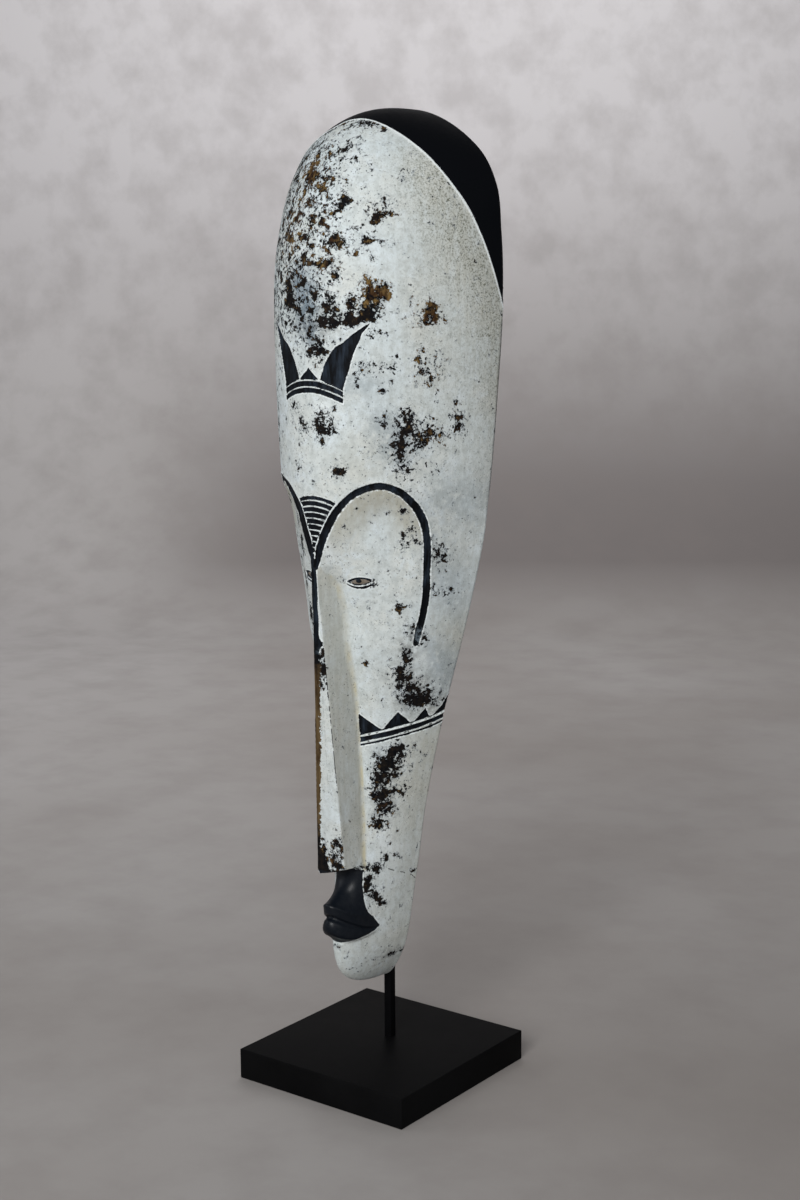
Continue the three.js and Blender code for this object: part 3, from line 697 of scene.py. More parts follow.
# Marks of wear on the painted face: x, z, half sizes across and along, strength, share of bare brown wood
wearMarks = [
    (20, 814, 26, 7, 0.8, 0.3), (-26, 797, 12, 8, 0.7, 0.3), (-18, 768, 14, 16, 0.95, 0.9),
    (4, 752, 12, 8, 0.8, 0.7), (24, 740, 10, 12, 0.85, 0.3), (54, 733, 9, 13, 0.8, 0.5),
    (-24, 728, 9, 14, 0.8, 0.9), (10, 731, 14, 8, 0.8, 0.6), (40, 719, 6, 6, 0.7, 0.1),
    (-31, 713, 10, 18, 0.85, 0.9), (22, 708, 14, 12, 0.9, 0.6), (50, 710, 9, 6, 0.75, 0.5),
    (41, 699, 8, 5, 0.7, 0.4), (16, 690, 12, 10, 0.85, 0.8), (27, 678, 7, 12, 0.9, 0.8),
    (53, 693, 4, 4, 0.6, 0.5), (-6, 684, 10, 9, 0.7, 0.3), (16, 670, 6, 10, 0.75, 0.3),
    (-27, 664, 7, 14, 0.8, 0.2), (4, 634, 22, 10, 0.6, 0.0), (56, 662, 10, 15, 1.3, 1.0),
    (41, 653, 6, 9, 0.8, 0.5), (54, 646, 9, 8, 1.2, 0.3), (90, 648, 7, 10, 1.0, 1.0),
    (87, 640, 8, 5, 0.8, 1.0), (64, 741, 7, 6, 0.45, 0.2), (63, 768, 9, 7, 0.35, 0.2),
    (20, 639, 14, 12, 0.95, 0.15), (10, 614, 11, 14, 0.95, 0.25), (46, 641, 9, 5, 0.7, 0.1),
    (56, 628, 5, 6, 0.7, 0.0), (52, 600, 11, 5, 0.75, 0.2), (42, 590, 7, 8, 0.7, 0.1),
    (68, 601, 5, 10, 0.6, 0.1), (88, 600, 9, 16, 0.6, 0.6), (62, 580, 5, 4, 0.6, 0.4),
    (-19, 561, 8, 9, 0.7, 0.1), (-8, 545, 9, 12, 0.75, 0.3), (14, 548, 13, 16, 0.9, 0.1),
    (-17, 510, 7, 9, 0.6, 0.2), (26, 506, 8, 8, 0.75, 0.2), (64, 556, 4, 9, 0.6, 0.1),
    (75, 556, 9, 9, 0.9, 0.1), (80, 548, 8, 9, 0.85, 0.2), (72, 541, 7, 7, 0.9, 0.0),
    (72, 529, 9, 8, 0.95, 0.1), (82, 534, 6, 8, 0.9, 0.2), (72, 512, 7, 10, 0.8, 0.0),
    (90, 543, 6, 12, 0.9, 0.8), (101, 553, 4, 16, 0.7, 0.3), (88, 510, 5, 8, 0.6, 0.0),
    (57, 523, 10, 4, 0.45, 0.0), (67, 472, 4, 5, 0.7, 0.0), (70, 456, 5, 7, 0.6, 0.0),
    (64, 443, 5, 10, 0.8, 0.1), (72, 443, 3, 4, 0.8, 0.0), (83, 432, 5, 14, 0.7, 0.0),
    (82, 395, 7, 6, 0.5, 0.0), (58, 381, 7, 6, 0.65, 0.2), (65, 354, 5, 12, 0.85, 0.0),
    (56, 333, 4, 13, 1.0, 0.0), (50, 306, 7, 10, 0.85, 0.0), (53, 291, 9, 12, 0.85, 0.0),
    (25, 326, 3, 3, 1.0, 0.9), (38, 238, 9, 11, 1.0, 0.0), (30, 222, 8, 10, 0.9, 0.1),
    (25, 204, 6, 14, 0.85, 0.35), (28, 184, 6, 16, 0.85, 0.5), (38, 201, 4, 10, 0.7, 0.0),
    (23, 173, 4, 10, 0.7, 0.4), (11, 152, 7, 11, 0.85, 0.6), (8, 134, 10, 8, 0.95, 0.5),
    (-8, 140, 6, 16, 0.9, 0.5), (22, 126, 8, 5, 0.8, 0.2), (20, 108, 4, 12, 0.8, 0.1),
    (29, 136, 5, 5, 0.6, 0.2), (5, 333, 4, 16, 0.8, 0.2), (9, 316, 3, 8, 0.8, 0.2),
    (8, 420, 4, 12, 0.7, 0.1), (20, 30, 5, 4, 0.5, 0.0), (10, 24, 4, 2, 0.6, 0.2), (0, 49, 6, 4, 0.6, 0.0),
    (3, 337, 8, 9, 0.95, 0.0), (6, 323, 6, 12, 0.95, 0.0), (1, 312, 6, 8, 0.9, 0.3),
    (9, 304, 2, 12, 0.8, 0.0), (7, 145, 9, 16, 0.9, 0.5), (14, 150, 6, 14, 0.85, 0.3),
    (40, 404, 5, 4, 0.6, 0.0), (8, 428, 3, 5, 0.8, 0.0), (16, 404, 2, 5, 0.7, 0.0),
    (27, 212, 8, 22, 0.9, 0.15), (34, 232, 9, 14, 0.95, 0.0), (54, 298, 11, 18, 0.8, 0.0),
    # the first two marks below make the bottom edge of the nose's tip dark
    (2, 126.5, 16, 2.5, 0.95, 0.0), (16, 127, 5, 3, 0.85, 0.0), (17.5, 142, 2, 7, 0.7, 0.0),
    (-60, 700, 20, 30, 0.55, 0.3), (-85, 590, 14, 40, 0.5, 0.1), (-70, 480, 12, 30, 0.45, 0.0),
    (-52, 300, 9, 22, 0.8, 0.1), (-34, 215, 9, 24, 0.75, 0.3), (-24, 108, 6, 10, 0.6, 0.1),
    (21, 115, 4, 5, 1.0, 0.0), (20, 105, 3, 7, 1.0, 0.0), (22.5, 97, 3, 6, 0.95, 0.0),
    (25, 88, 2.5, 5, 0.85, 0.0), (28, 134, 3, 3, 0.95, 0.2), (23, 125, 4, 5, 1.0, 0.1),
    (36, 640, 12, 8, 1.0, 0.0), (22, 652, 9, 10, 1.0, 0.1), (50, 313, 8, 14, 0.95, 0.0),
    (55, 290, 10, 9, 1.1, 0.0), (33, 225, 9, 12, 1.1, 0.0), (28, 195, 7, 16, 1.0, 0.2),
    (26, 168, 4, 10, 0.85, 0.1), (-40, 432, 5, 14, 1.0, 0.0), (-46, 456, 5, 12, 1.0, 0.0),
    (-44, 396, 4, 14, 1.0, 0.0), (-42, 368, 4, 14, 1.0, 0.0), (-38, 344, 4, 12, 0.9, 0.0),
]
# Grey-blue scrubbed places and thin dark films: x, z, half sizes across and along, strength
scrubbed = [
    (-2, 652, 15, 30, 1.0), (-12, 672, 10, 18, 1.0), (4, 628, 8, 14, 0.9), (45, 585, 22, 14, 0.35),
    (62, 548, 12, 18, 0.45), (70, 532, 16, 20, 0.5), (84, 410, 10, 50, 0.35), (72, 320, 9, 34, 0.45),
    (95, 480, 20, 30, 0.3),
]
filmed = [
    (54, 297, 11, 22, 1.0), (8, 634, 20, 14, 0.7), (29, 210, 8, 34, 0.7), (57, 336, 5, 14, 0.8),
    (63, 352, 5, 10, 0.8), (20, 30, 5, 5, 0.5), (2, 50, 5, 3, 0.6),
]
# Duller, creamy places, and brighter, bluish places that are partly fresher paint and partly painted
# highlight
dulled = [(45, 515, 26, 24, 0.3), (84, 345, 16, 32, 0.35), (60, 240, 12, 26, 0.25)]
freshPaintAndHighlights = [
    (15, 561, 10, 8, 1.0), (80, 497, 6, 14, 0.9), (62, 332, 6, 13, 0.8), (58, 308, 5, 14, 0.8),
    (13, 435, 3, 12, 0.8), (6, 240, 5, 60, 0.15), (20, 700, 40, 50, 0.3), (30, 150, 6, 40, 0.5),
    (4, 170, 8, 30, 0.15),
]
# Wear that isn't in single marks: shares, and the heights and widths between which each comes and goes
wear = {
    "least": 0.08,
    "forehead": {"share": 0.62, "rise": (560, 660), "fade": (785, 815), "across": (-5, 52), "far": 0.45,
                 "farAcross": (45, 90)},
    "farSide": {"even": 0.14, "patchy": 0.3, "rise": (260, 460), "across": (20, 70)},
    "hairline": {"share": 0.75, "from": 3, "spread": 7, "across": (46, 18), "start": (0.8, 2.0)},
    "temple": (55, 95),
    "stipple": {"from": 16, "spread": 26, "across": (30, 80), "temple": 0.3, "rise": (480, 600)},
    "crease": {"from": 0.6, "spread": 1.1, "deep": 2.8, "top": 410},
    "arris": {"low": 212, "high": 335, "reach": 12},
    "walls": 0.92,
    "rim": 0.46,
    # soil and painted shade: soil at the chin and by the hair, painted shade under the brows' arches, both in
    # the crease, and darker, yellower paint at the temples, low on the sides and on the nose's walls
    "soilAndShade": {"temple": 0.12, "lowSide": 0.5, "crease": 0.5, "stipple": 0.35, "shaded": 0.8, "wall": 0.45,
             "chin": 0.2},
}
# Black that runs down from where the brows meet: x, z, half width; and where it ends in a ragged corner
noseStem = [(0, 424, 3.0), (-0.8, 400, 3.4), (-2.0, 380, 3.9), (-2.4, 360, 4.2), (-2.6, 340, 3.8)]
noseTriangle = [(-5.5, 357), (3.0, 351.5), (7.0, 347.5), (1.0, 341.5), (-5.5, 338)]
# The far edge of the nose is rubbed through: height and width of it, and the larger place at the tip's corner
rubbedWide = smoothThrough([
    (120, 6), (150, 5.6), (185, 6.0), (205, 6.6), (235, 7.4), (300, 8.0), (335, 8), (345, 4), (440, 1),
])
rubbedCorner = {"radius": 16.0, "high": 3.6, "slope": 3.0, "slopeAcross": (-4, 14), "cutOff": 4.0}


def spread(x, z, rows):
    total = np.zeros(len(x))
    for row in rows:
        near = np.exp(-(((x - row[0]) / row[2]) ** 2 + ((z - row[1]) / row[3]) ** 2) ** 1.3)
        total = np.maximum(total, row[4] * near)
    return total


# How much of the bare wood in the marks is brown
def brownShare(x, z):
    brown, weight = np.zeros(len(x)), np.full(len(x), 0.03)
    for row in wearMarks:
        near = np.exp(-((x - row[0]) / row[2]) ** 2 - ((z - row[1]) / row[3]) ** 2)
        brown += near * row[5]
        weight += near
    return brown / weight


def lostPaint(x, z, nearHair):
    top, far, hair = wear["forehead"], wear["farSide"], wear["hairline"]
    forehead = easeStep(z, *top["rise"]) * (1 - easeStep(z, *top["fade"])) * (1 - easeStep(x, *top["across"]))
    forehead = forehead * top["share"] * (1 - top["far"] * easeStep(-x, *top["farAcross"]))
    patchy = 0.5 + 0.5 * np.sin(z / 21 + 2 * np.sin(x / 17))
    farSide = far["even"] + far["patchy"] * patchy
    farSide = easeStep(-x, *far["across"]) * easeStep(z, *far["rise"]) * farSide
    chips = np.maximum(spread(x, z, wearMarks), np.maximum(forehead, farSide)) + wear["least"]
    hairline = bell(nearHair, hair["from"], hair["spread"]) * easeStep(x, *hair["across"])
    hairline = hairline * easeStep(nearHair, *hair["start"]) * hair["share"]
    return np.maximum(chips * easeStep(nearHair, 1.2, 3.0), hairline)


# Soil and painted shade on the white paint, from nothing to one
def soilAndPaintedShade(x, z, parts):
    out = np.abs(x)
    edge = distanceTo(np.stack([out, z], axis=1), browLine, 40.0)
    underBrow = np.where(insideOutline(out, z, panelLoop), edge, 40.0)
    # painted shade: darker, yellower paint in the top of the panel under each brow's arch
    parts["shaded"] = (1 - easeStep(underBrow, 8, 30)) * easeStep(z, 430, 462) * (underBrow < 39)
    parts["lowSide"] = (1 - easeStep(z, 200, 330)) * easeStep(out + (z - 160) * -0.05, 24, 44)
    parts["chin"] = easeStep(z, 85, 40)
    total = sum(share * parts[name] for name, share in wear["soilAndShade"].items())
    return np.clip(total + spread(x, z, dulled), 0, 1)


# Distance to the rubbed far edge of the nose
def rubbedEdge(x, z, drop, foot):
    fromEdge = np.hypot(np.maximum(noseHalf(z) + x, 0), np.maximum(drop - 0.5, 0)) - rubbedWide(z)
    fromEdge = np.where(x < noseHalf(z), fromEdge, farAway)
    setBack = np.maximum(drop, 0)
    above = z - nose["tip"]
    corner = np.hypot(np.hypot(x + nose["tipHalf"], above * 0.7), setBack * 0.9) - rubbedCorner["radius"]
    slope = easeStep(x, *rubbedCorner["slopeAcross"]) * rubbedCorner["slope"]
    corner = np.minimum(corner, above - rubbedCorner["high"] + slope + setBack * 0.15)
    corner = np.maximum(corner, rubbedCorner["cutOff"] * (np.abs(x) - foot - 0.2))
    return np.minimum(fromEdge, corner)


# Distance to the black stem that runs down the nose
def stemDistance(points):
    stem = outlineDistance(points, noseTriangle)
    for start, end in zip(noseStem[:-1], noseStem[1:]):
        path = onFace(shortSteps([start[:2], end[:2]], 1.5))
        stem = np.minimum(stem, distanceTo(points, path) - (start[2] + end[2]) / 2)
    return stem


# How worn, bare, soiled and scrubbed the paint is at each point, and where shade is painted on it
def wearFields(points, fields):
    x, z, depth = points[:, 0], points[:, 2], -points[:, 1]
    out, half = np.abs(x), noseHalf(z)
    foot = half + noseFlare(z)
    nearHair = np.clip(fields["coif"], 0, 200)
    dots, gutter, arris = wear["stipple"], wear["crease"], wear["arris"]
    temple = easeStep(out, *wear["temple"])
    stipple = bell(nearHair, dots["from"], dots["spread"]) * easeStep(out, *dots["across"])
    stipple = stipple + dots["temple"] * temple * easeStep(z, *dots["rise"])
    rise = depth - faceDepth(x, z, withNose=False)
    # partly soil and partly painted shade: darker, yellower paint in the crease at the nose's foot
    crease = bell(out - foot, gutter["from"], gutter["spread"]) * bell(rise, 0, gutter["deep"])
    crease = crease * (z > nose["tip"]) * (z < gutter["top"])
    wall = (out < foot) & (rise > 2) & (out > half) & (z > nose["tip"]) & (z < nose["root"])
    soilAndShade = soilAndPaintedShade(x, z, {"temple": temple, "crease": crease, "stipple": stipple, "wall": wall})

    ridge = (z > nose["tip"] - 1) & (z < nose["root"])
    drop = ridgeDepth(z) - depth
    onWall = (x > half + 0.05) | (drop > 1.5)
    keptWall = ridge & onWall & (x > 0) & (x < foot + 3) & (z > nose["tip"] + 12)
    fromArris = np.where(x < half, x - half, np.hypot(x - half, np.maximum(drop, 0)))
    scratched = ridge & (z < arris["high"]) & (z > arris["low"]) & (x > 0) & (fromArris < arris["reach"])
    stem = np.where(onWall & (z < 400), farAway, np.minimum(stemDistance(points), farAway))
    return {
        "chips": lostPaint(x, z, nearHair) * (1 - wear["walls"] * keptWall),
        "brown": brownShare(x, z),
        "soilAndShade": soilAndShade,
        "scrub": spread(x, z, scrubbed),
        "film": spread(x, z, filmed),
        "fresh": spread(x, z, freshPaintAndHighlights),
        "ink": np.minimum(fields["ink"], stem),
        "edgeWear": np.where(ridge, rubbedEdge(x, z, drop, foot), farAway),
        "arris": np.where(scratched, fromArris, farAway),
        "crease": crease,
        "stipple": stipple,
        "bare": wear["rim"] * (1 - easeStep(depth, 0.3, 1.8)),
    }


def placement():
    lean = Matrix.Rotation(-math.radians(mask["leanBackDegrees"]), 4, "X")
    roll = Matrix.Rotation(math.radians(mask["leanSideDegrees"]), 4, "Y")
    shift = Matrix.Translation((0, mask["back"], mask["lift"]))
    return Matrix.Scale(mm, 4) @ shift @ roll @ lean


# What the material reads from the mesh
layerNames = (
    "ink", "line", "ball", "coif", "lips", "chips", "brown", "soilAndShade", "scrub", "film", "fresh", "edgeWear",
    "arris", "crease", "stipple", "crack", "bare",
)


# The hollow: the rim is extruded inwards, ring by ring, until the rings meet down the middle
def addHollow(bm):
    bare, shareOf, sideOf = [bm.verts.layers.float[name] for name in ("bare", "share", "side")]
    loop = [edge for edge in bm.edges if edge.is_boundary]
    for ring in range(hollow["rings"] + 1):
        made = bmesh.ops.extrude_edge_only(bm, edges=loop)["geom"]
        loop = [item for item in made if isinstance(item, bmesh.types.BMEdge) and item.is_boundary]
        angle = math.pi / 2 * (1 - ring / hollow["rings"])
        for vertex in [item for item in made if isinstance(item, bmesh.types.BMVert)]:
            if ring == 0:
                vertex[shareOf] = vertex.co.z / mask["height"]
                vertex[sideOf] = math.copysign(1, vertex.co.x) if abs(vertex.co.x) > 0.01 else 0
            share = vertex[shareOf]
            z = between(hollow["low"], hollow["high"], share)
            ends = math.sqrt(max(0.0, 1 - (2 * share - 1) ** 2)) ** 0.45
            wide = max(float(halfWidth(z)) - hollow["rimWall"], hollow["least"]) * ends
            deep = max(float(eggMiddle(z)) - hollow["frontWall"], hollow["least"]) * ends
            spot = Vector((vertex[sideOf] * wide * math.sin(angle), -deep * math.cos(angle) ** 1.2, z))
            gouge = noise.noise(Vector((spot.x, spot.y, spot.z * 0.5)) / hollow["gouge"])
            swell = 1 + hollow["gougeDeep"] * gouge * (ring > 0)
            vertex.co = (spot.x * swell, spot.y * swell, z)
            vertex[bare] = 1


def onNoseEdge(spot, place, reach):
    x, z = abs(spot.x), spot.z - tipTilt(spot.x, spot.z)
    atTip = abs(z - nose["tip"]) < reach and -spot.y > nose["tipDepth"] - 14
    if place == "corner":
        return atTip and abs(x - nose["tipHalf"]) < reach
    if place == "tip":
        return atTip and x < nose["tipHalf"] + 3
    beside = abs(x - noseHalf(z)) < reach + 2 * (spot.x > 0)
    return nose["tip"] < z < nose["root"] - 60 and beside and ridgeDepth(z) + spot.y < reach + 2


# Handling has rounded the edges of the nose, most of all the corners of its tip
def roundNose(bm):
    for place, reach, rounds in nose["rounding"]:
        chosen = [vertex for vertex in bm.verts if onNoseEdge(vertex.co, place, reach)]
        for turn in range(rounds):
            bmesh.ops.smooth_vert(
                bm, verts=chosen, factor=0.5, use_axis_x=True, use_axis_y=True, use_axis_z=True)


# Each tip of the egg is one point, though every column of the grid ends there
def closeTips(bm, along):
    for end in (0, 1):
        tip = [vertex for vertex, spot in zip(bm.verts, along) if spot == end]
        middle = sum((vertex.co for vertex in tip), Vector()) / len(tip)
        for vertex in tip:
            vertex.co = middle
    bmesh.ops.remove_doubles(bm, verts=bm.verts, dist=grid["weld"])


def meshFrom(bm, name):
    mesh = bpy.data.meshes.new(name)
    bm.to_mesh(mesh)
    bm.free()
    return mesh


def buildMask():
    bm = bmesh.new()
    columns = 2 * (grid["ridgeColumns"] + grid["sideColumns"] + grid["cheekColumns"])
    bmesh.ops.create_grid(bm, x_segments=columns, y_segments=len(rowHeight) - 1, size=1)
    for vertex in bm.verts:
        vertex.co.y = (vertex.co.y + 1) / 2
    refineGrid(bm)
    across, along = gridSpots(bm)
    points = facePoints(across, along)
    fields = carvedFields(points)
    fields.update(wearFields(points, fields))
    for name in (*layerNames, "share", "side"):
        bm.verts.layers.float.new(name)
    bm.verts.ensure_lookup_table()
    for name in layerNames:
        layer = bm.verts.layers.float[name]
        for vertex, value in zip(bm.verts, fields[name]):
            vertex[layer] = float(value)
    for vertex, point in zip(bm.verts, points):
        vertex.co = point
    bm.normal_update()
    uneven = mask["uneven"]
    rough = easeStep(-points[:, 1], 0, 9) * (1 - 0.6 * (fields["coif"] < 0))
    for vertex, cut, share in zip(bm.verts, fields["cut"], rough):
        broad, small = [0.5 + 0.5 * noise.noise(vertex.co / uneven[size]) for size in ("broad", "small")]
        rise = share * (uneven["deep"] * broad + uneven["slight"] * small)
        vertex.co -= vertex.normal * (mask["inset"] + float(cut + rise))
    closeTips(bm, along)
    roundNose(bm)
    addHollow(bm)
    bare = bm.verts.layers.float["bare"]
    middle = [vertex for vertex in bm.verts if vertex[bare] == 1 and abs(vertex.co.x) < grid["weld"]]
    bmesh.ops.remove_doubles(bm, verts=middle, dist=grid["weld"])
    bmesh.ops.holes_fill(bm, edges=[edge for edge in bm.edges if edge.is_boundary], sides=0)
    bmesh.ops.recalc_face_normals(bm, faces=bm.faces)
    bmesh.ops.transform(bm, matrix=placement(), verts=bm.verts)
    mesh = meshFrom(bm, "carved_mask")
    print("mask made of", sum(len(face.vertices) - 2 for face in mesh.polygons), "triangles")
    return mesh


def addPiece(name, mesh, node, material):
    mesh.shade_smooth()
    mesh.materials.append(material)
    piece = bpy.data.objects.new(name, mesh)
    scene.collection.objects.link(piece)
    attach(piece, "root")
    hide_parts(node)
    return piece


# Stand: a square rod that stands in a square plate, both taken from the frame
stand = {"rodEdge": 0.5, "plateEdge": 1.2, "edgeSegments": 4}


def barMesh(name, low, high, edge):
    bm = bmesh.new()
    bmesh.ops.create_cube(bm, size=1)
    bmesh.ops.scale(bm, vec=high - low, verts=bm.verts)
    bmesh.ops.translate(bm, vec=(low + high) / 2, verts=bm.verts)
    bmesh.ops.bevel(
        bm, geom=bm.edges[:], offset=edge * mm, segments=stand["edgeSegments"], profile=0.5, affect="EDGES",
        material=-1)
    mesh = meshFrom(bm, name)
    mesh.set_sharp_from_angle(angle=math.radians(30))
    return mesh


# Shader helpers. Most find their node tree from a value that they are given.
def addNode(tree, kind, **values):
    node = tree.nodes.new("ShaderNode" + kind)
    for key, value in values.items():
        setattr(node, key, value)
    return node


# Sets or links a node's inputs, and gives its outputs
def fill(node, values):
    for name, value in values.items():
        if isinstance(value, bpy.types.NodeSocket):
            node.id_data.links.new(value, node.inputs[name])
        else:
            node.inputs[name].default_value = value
    return node.outputs


def mathNode(operation, *values):
    tree = next(value.id_data for value in values if isinstance(value, bpy.types.NodeSocket))
    return fill(addNode(tree, "Math", operation=operation), dict(enumerate(values)))[0]


def times(first, second):
    return mathNode("MULTIPLY", first, second)


def timesPlus(first, second, third):
    return mathNode("MULTIPLY_ADD", first, second, third)


def plus(first, second):
    return mathNode("ADD", first, second)


def minus(first, second):
    return mathNode("SUBTRACT", first, second)


def larger(first, second):
    return mathNode("MAXIMUM", first, second)


def mapped(value, fromLow, fromHigh, toLow=0.0, toHigh=1.0, smooth=False):
    node = addNode(value.id_data, "MapRange", interpolation_type="SMOOTHSTEP" if smooth else "LINEAR")
    return fill(node, dict(enumerate((value, fromLow, fromHigh, toLow, toHigh))))[0]


# One where a signed distance is less than nothing, and nothing outside, with a blur between
def within(distance, blur):
    return mapped(distance, -blur, blur, 1.0, 0.0)


def mixColour(share, under, over):
    node = addNode(share.id_data, "Mix", data_type="RGBA")
    return fill(node, {0: share, 6: under, 7: over})[2]


def noiseNode(vector, scale, detail=2.0, roughness=0.5, distortion=0.0):
    node = addNode(vector.id_data, "TexNoise")
    values = {"Scale": scale, "Detail": detail, "Roughness": roughness, "Distortion": distortion}
    return fill(node, {"Vector": vector, **values})["Fac"]


# The piece's own coordinates, drawn out along its height
def drawnOut(spot, along):
    return fill(addNode(spot.id_data, "Mapping"), {"Vector": spot, "Scale": (1.0, 1.0, along)})[0]


def heightOf(spot):
    return fill(addNode(spot.id_data, "SeparateXYZ"), {"Vector": spot})["Z"]


def bumped(height, strength, distance):
    values = {"Strength": strength, "Distance": distance, "Height": height}
    return fill(addNode(height.id_data, "Bump"), values)[0]


def newGroup(name, inputs, outputs):
    group = bpy.data.node_groups.new(name, "ShaderNodeTree")
    for way, sockets in (("INPUT", inputs), ("OUTPUT", outputs)):
        for label, kind in sockets.items():
            group.interface.new_socket(name=label, in_out=way, socket_type="NodeSocket" + kind)
    return group, group.nodes.new("NodeGroupInput").outputs, group.nodes.new("NodeGroupOutput")


def useGroup(tree, group, **values):
    return fill(addNode(tree, "Group", node_tree=group), values)


# A material with one shader, and the piece's own coordinates to colour it by
def newMaterial(name):
    material = bpy.data.materials.new(name)
    material.use_nodes = True
    tree = material.node_tree
    tree.nodes.clear()
    shader = addNode(tree, "BsdfPrincipled")
    fill(addNode(tree, "OutputMaterial"), {"Surface": shader.outputs[0]})
    return material, shader, addNode(tree, "TexCoord").outputs["Object"]


# Ragged flakes of lost paint: more of them where the density is higher
def paintFlakes():
    sockets = {"Vector": "Vector", "Density": "Float", "Scale": "Float", "Ragged": "Float"}
    group, given, made = newGroup("paintFlakes", sockets, {"Lost": "Float", "Thin": "Float"})
    broad = noiseNode(given["Vector"], given["Scale"], 6.0, 0.62, 0.25)
    fine = noiseNode(given["Vector"], times(given["Scale"], 5.5), 3.0, 0.6)
    value = timesPlus(minus(fine, 0.5), given["Ragged"], broad)
    over = minus(value, mapped(given["Density"], 0, 1.4, 0.70, 0.35))
    fill(made, {"Lost": mapped(over, -0.005, 0.007), "Thin": mapped(over, -0.07, 0.0)})
    return group


# Long-grained wood between a dark and a light colour
def woodGrain():
    sockets = {"Vector": "Vector", "Dark": "Color", "Light": "Color"}
    group, given, made = newGroup("woodGrain", sockets, {"Color": "Color"})
    strands = noiseNode(drawnOut(given["Vector"], 0.09), 420.0, 5.0, 0.65, 0.4)
    cloud = noiseNode(given["Vector"], 70.0, 3.0, 0.55)
    share = mapped(timesPlus(cloud, 1.2, strands), 0.95, 1.25)
    fill(made, {"Color": mixColour(share, given["Dark"], given["Light"])})
    return group


flakes, grain = paintFlakes(), woodGrain()


# Colours of the mask's paint and wood
paint = {
    "white": (0.635, 0.70, 0.72, 1), "cream": (0.64, 0.67, 0.65, 1), "dull": (0.475, 0.515, 0.51, 1),
    "soilAndShade": (0.415, 0.40, 0.325, 1), "scrubbed": (0.20, 0.255, 0.30, 1), "halo": (0.17, 0.20, 0.235, 1),
    "speck": (0.11, 0.115, 0.105, 1), "stipple": (0.15, 0.155, 0.12, 1), "lips": (0.0035, 0.0056, 0.0095, 1),
    "black": (0.0032, 0.0038, 0.0052, 1), "brushed": (0.026, 0.037, 0.054, 1),
    "charred": (0.0135, 0.0105, 0.0085, 1), "ball": (0.12, 0.095, 0.065, 1),
    "ballPale": (0.29, 0.255, 0.22, 1), "film": (0.045, 0.038, 0.030, 1), "umber": (0.042, 0.020, 0.0095, 1),
    # the bright white is also a painted highlight on carved edges and the hairline
    "ochre": (0.185, 0.118, 0.043, 1), "brightAndHighlight": (0.76, 0.81, 0.82, 1), "fresh": (0.71, 0.785, 0.83, 1),
    "yellowAndShade": (0.50, 0.44, 0.26, 1), "rubbed": (0.13, 0.088, 0.042, 1),
    "rubbedDark": (0.045, 0.027, 0.013, 1), "hollowDark": (0.022, 0.014, 0.008, 1),
    "hollowLight": (0.07, 0.046, 0.026, 1),
}
finish = {
    "flakeScale": 120.0, "flakeRagged": 0.22, "crumbScale": 330.0, "crumbRagged": 0.15,
    "gloss": 0.07, "hairGloss": 0.035, "coatRoughness": 0.34, "bump": 0.6, "relief": 0.0006,
}
# Noise that the paint is broken up by: scale, detail, roughness, distortion
broken = {
    "cloud": (19.0, 4.0, 0.6), "mottle": (150.0, 5.0, 0.65), "patches": (48.0, 5.0, 0.7, 0.5),
    "fleck": (360.0, 4.0, 0.7), "pepper": (540.0, 4.0, 0.7), "speck": (520.0, 3.0, 0.6),
    "tone": (240.0, 4.0, 0.6), "fray": (300.0, 5.0, 0.7), "dash": (150.0, 3.0, 0.7), "sway": (75.0, 2.0, 0.5),
    "grit": (700.0, 4.0, 0.65),
}
brushStrokes = {"drawnOut": 0.16, "noise": (210.0, 4.0, 0.62)}
# Coats over the white: colour, what the mesh says about where, the noise that breaks it up, the stretch of
# that noise that counts, and the shares at its ends
coats = [
    ("cream", None, "cloud", 0.38, 0.62),
    ("dull", None, "mottle", 0.46, 0.64, 0.0, 0.75),
    ("fresh", None, "patches", 0.52, 0.66, 0.0, 0.7),
    ("dull", None, "fleck", 0.52, 0.68, 0.0, 0.55),
    ("dull", None, "strokes", 0.48, 0.70, 0.0, 0.35),
    # brighter white where the fresh field is: partly fresher paint, partly painted highlight
    ("brightAndHighlight", "fresh", "patches", 0.40, 0.54),
    # soil, and painted shade under the brows and in the crease
    ("soilAndShade", "soilAndShade", "strokes", 0.3, 0.6, 0.55, 1.0),
    # yellower in the crease: partly soil, partly painted shade
    ("yellowAndShade", "crease", "patches", 0.42, 0.60, 0.1, 0.75),
    ("scrubbed", "scrub", "mottle", 0.30, 0.48),
]


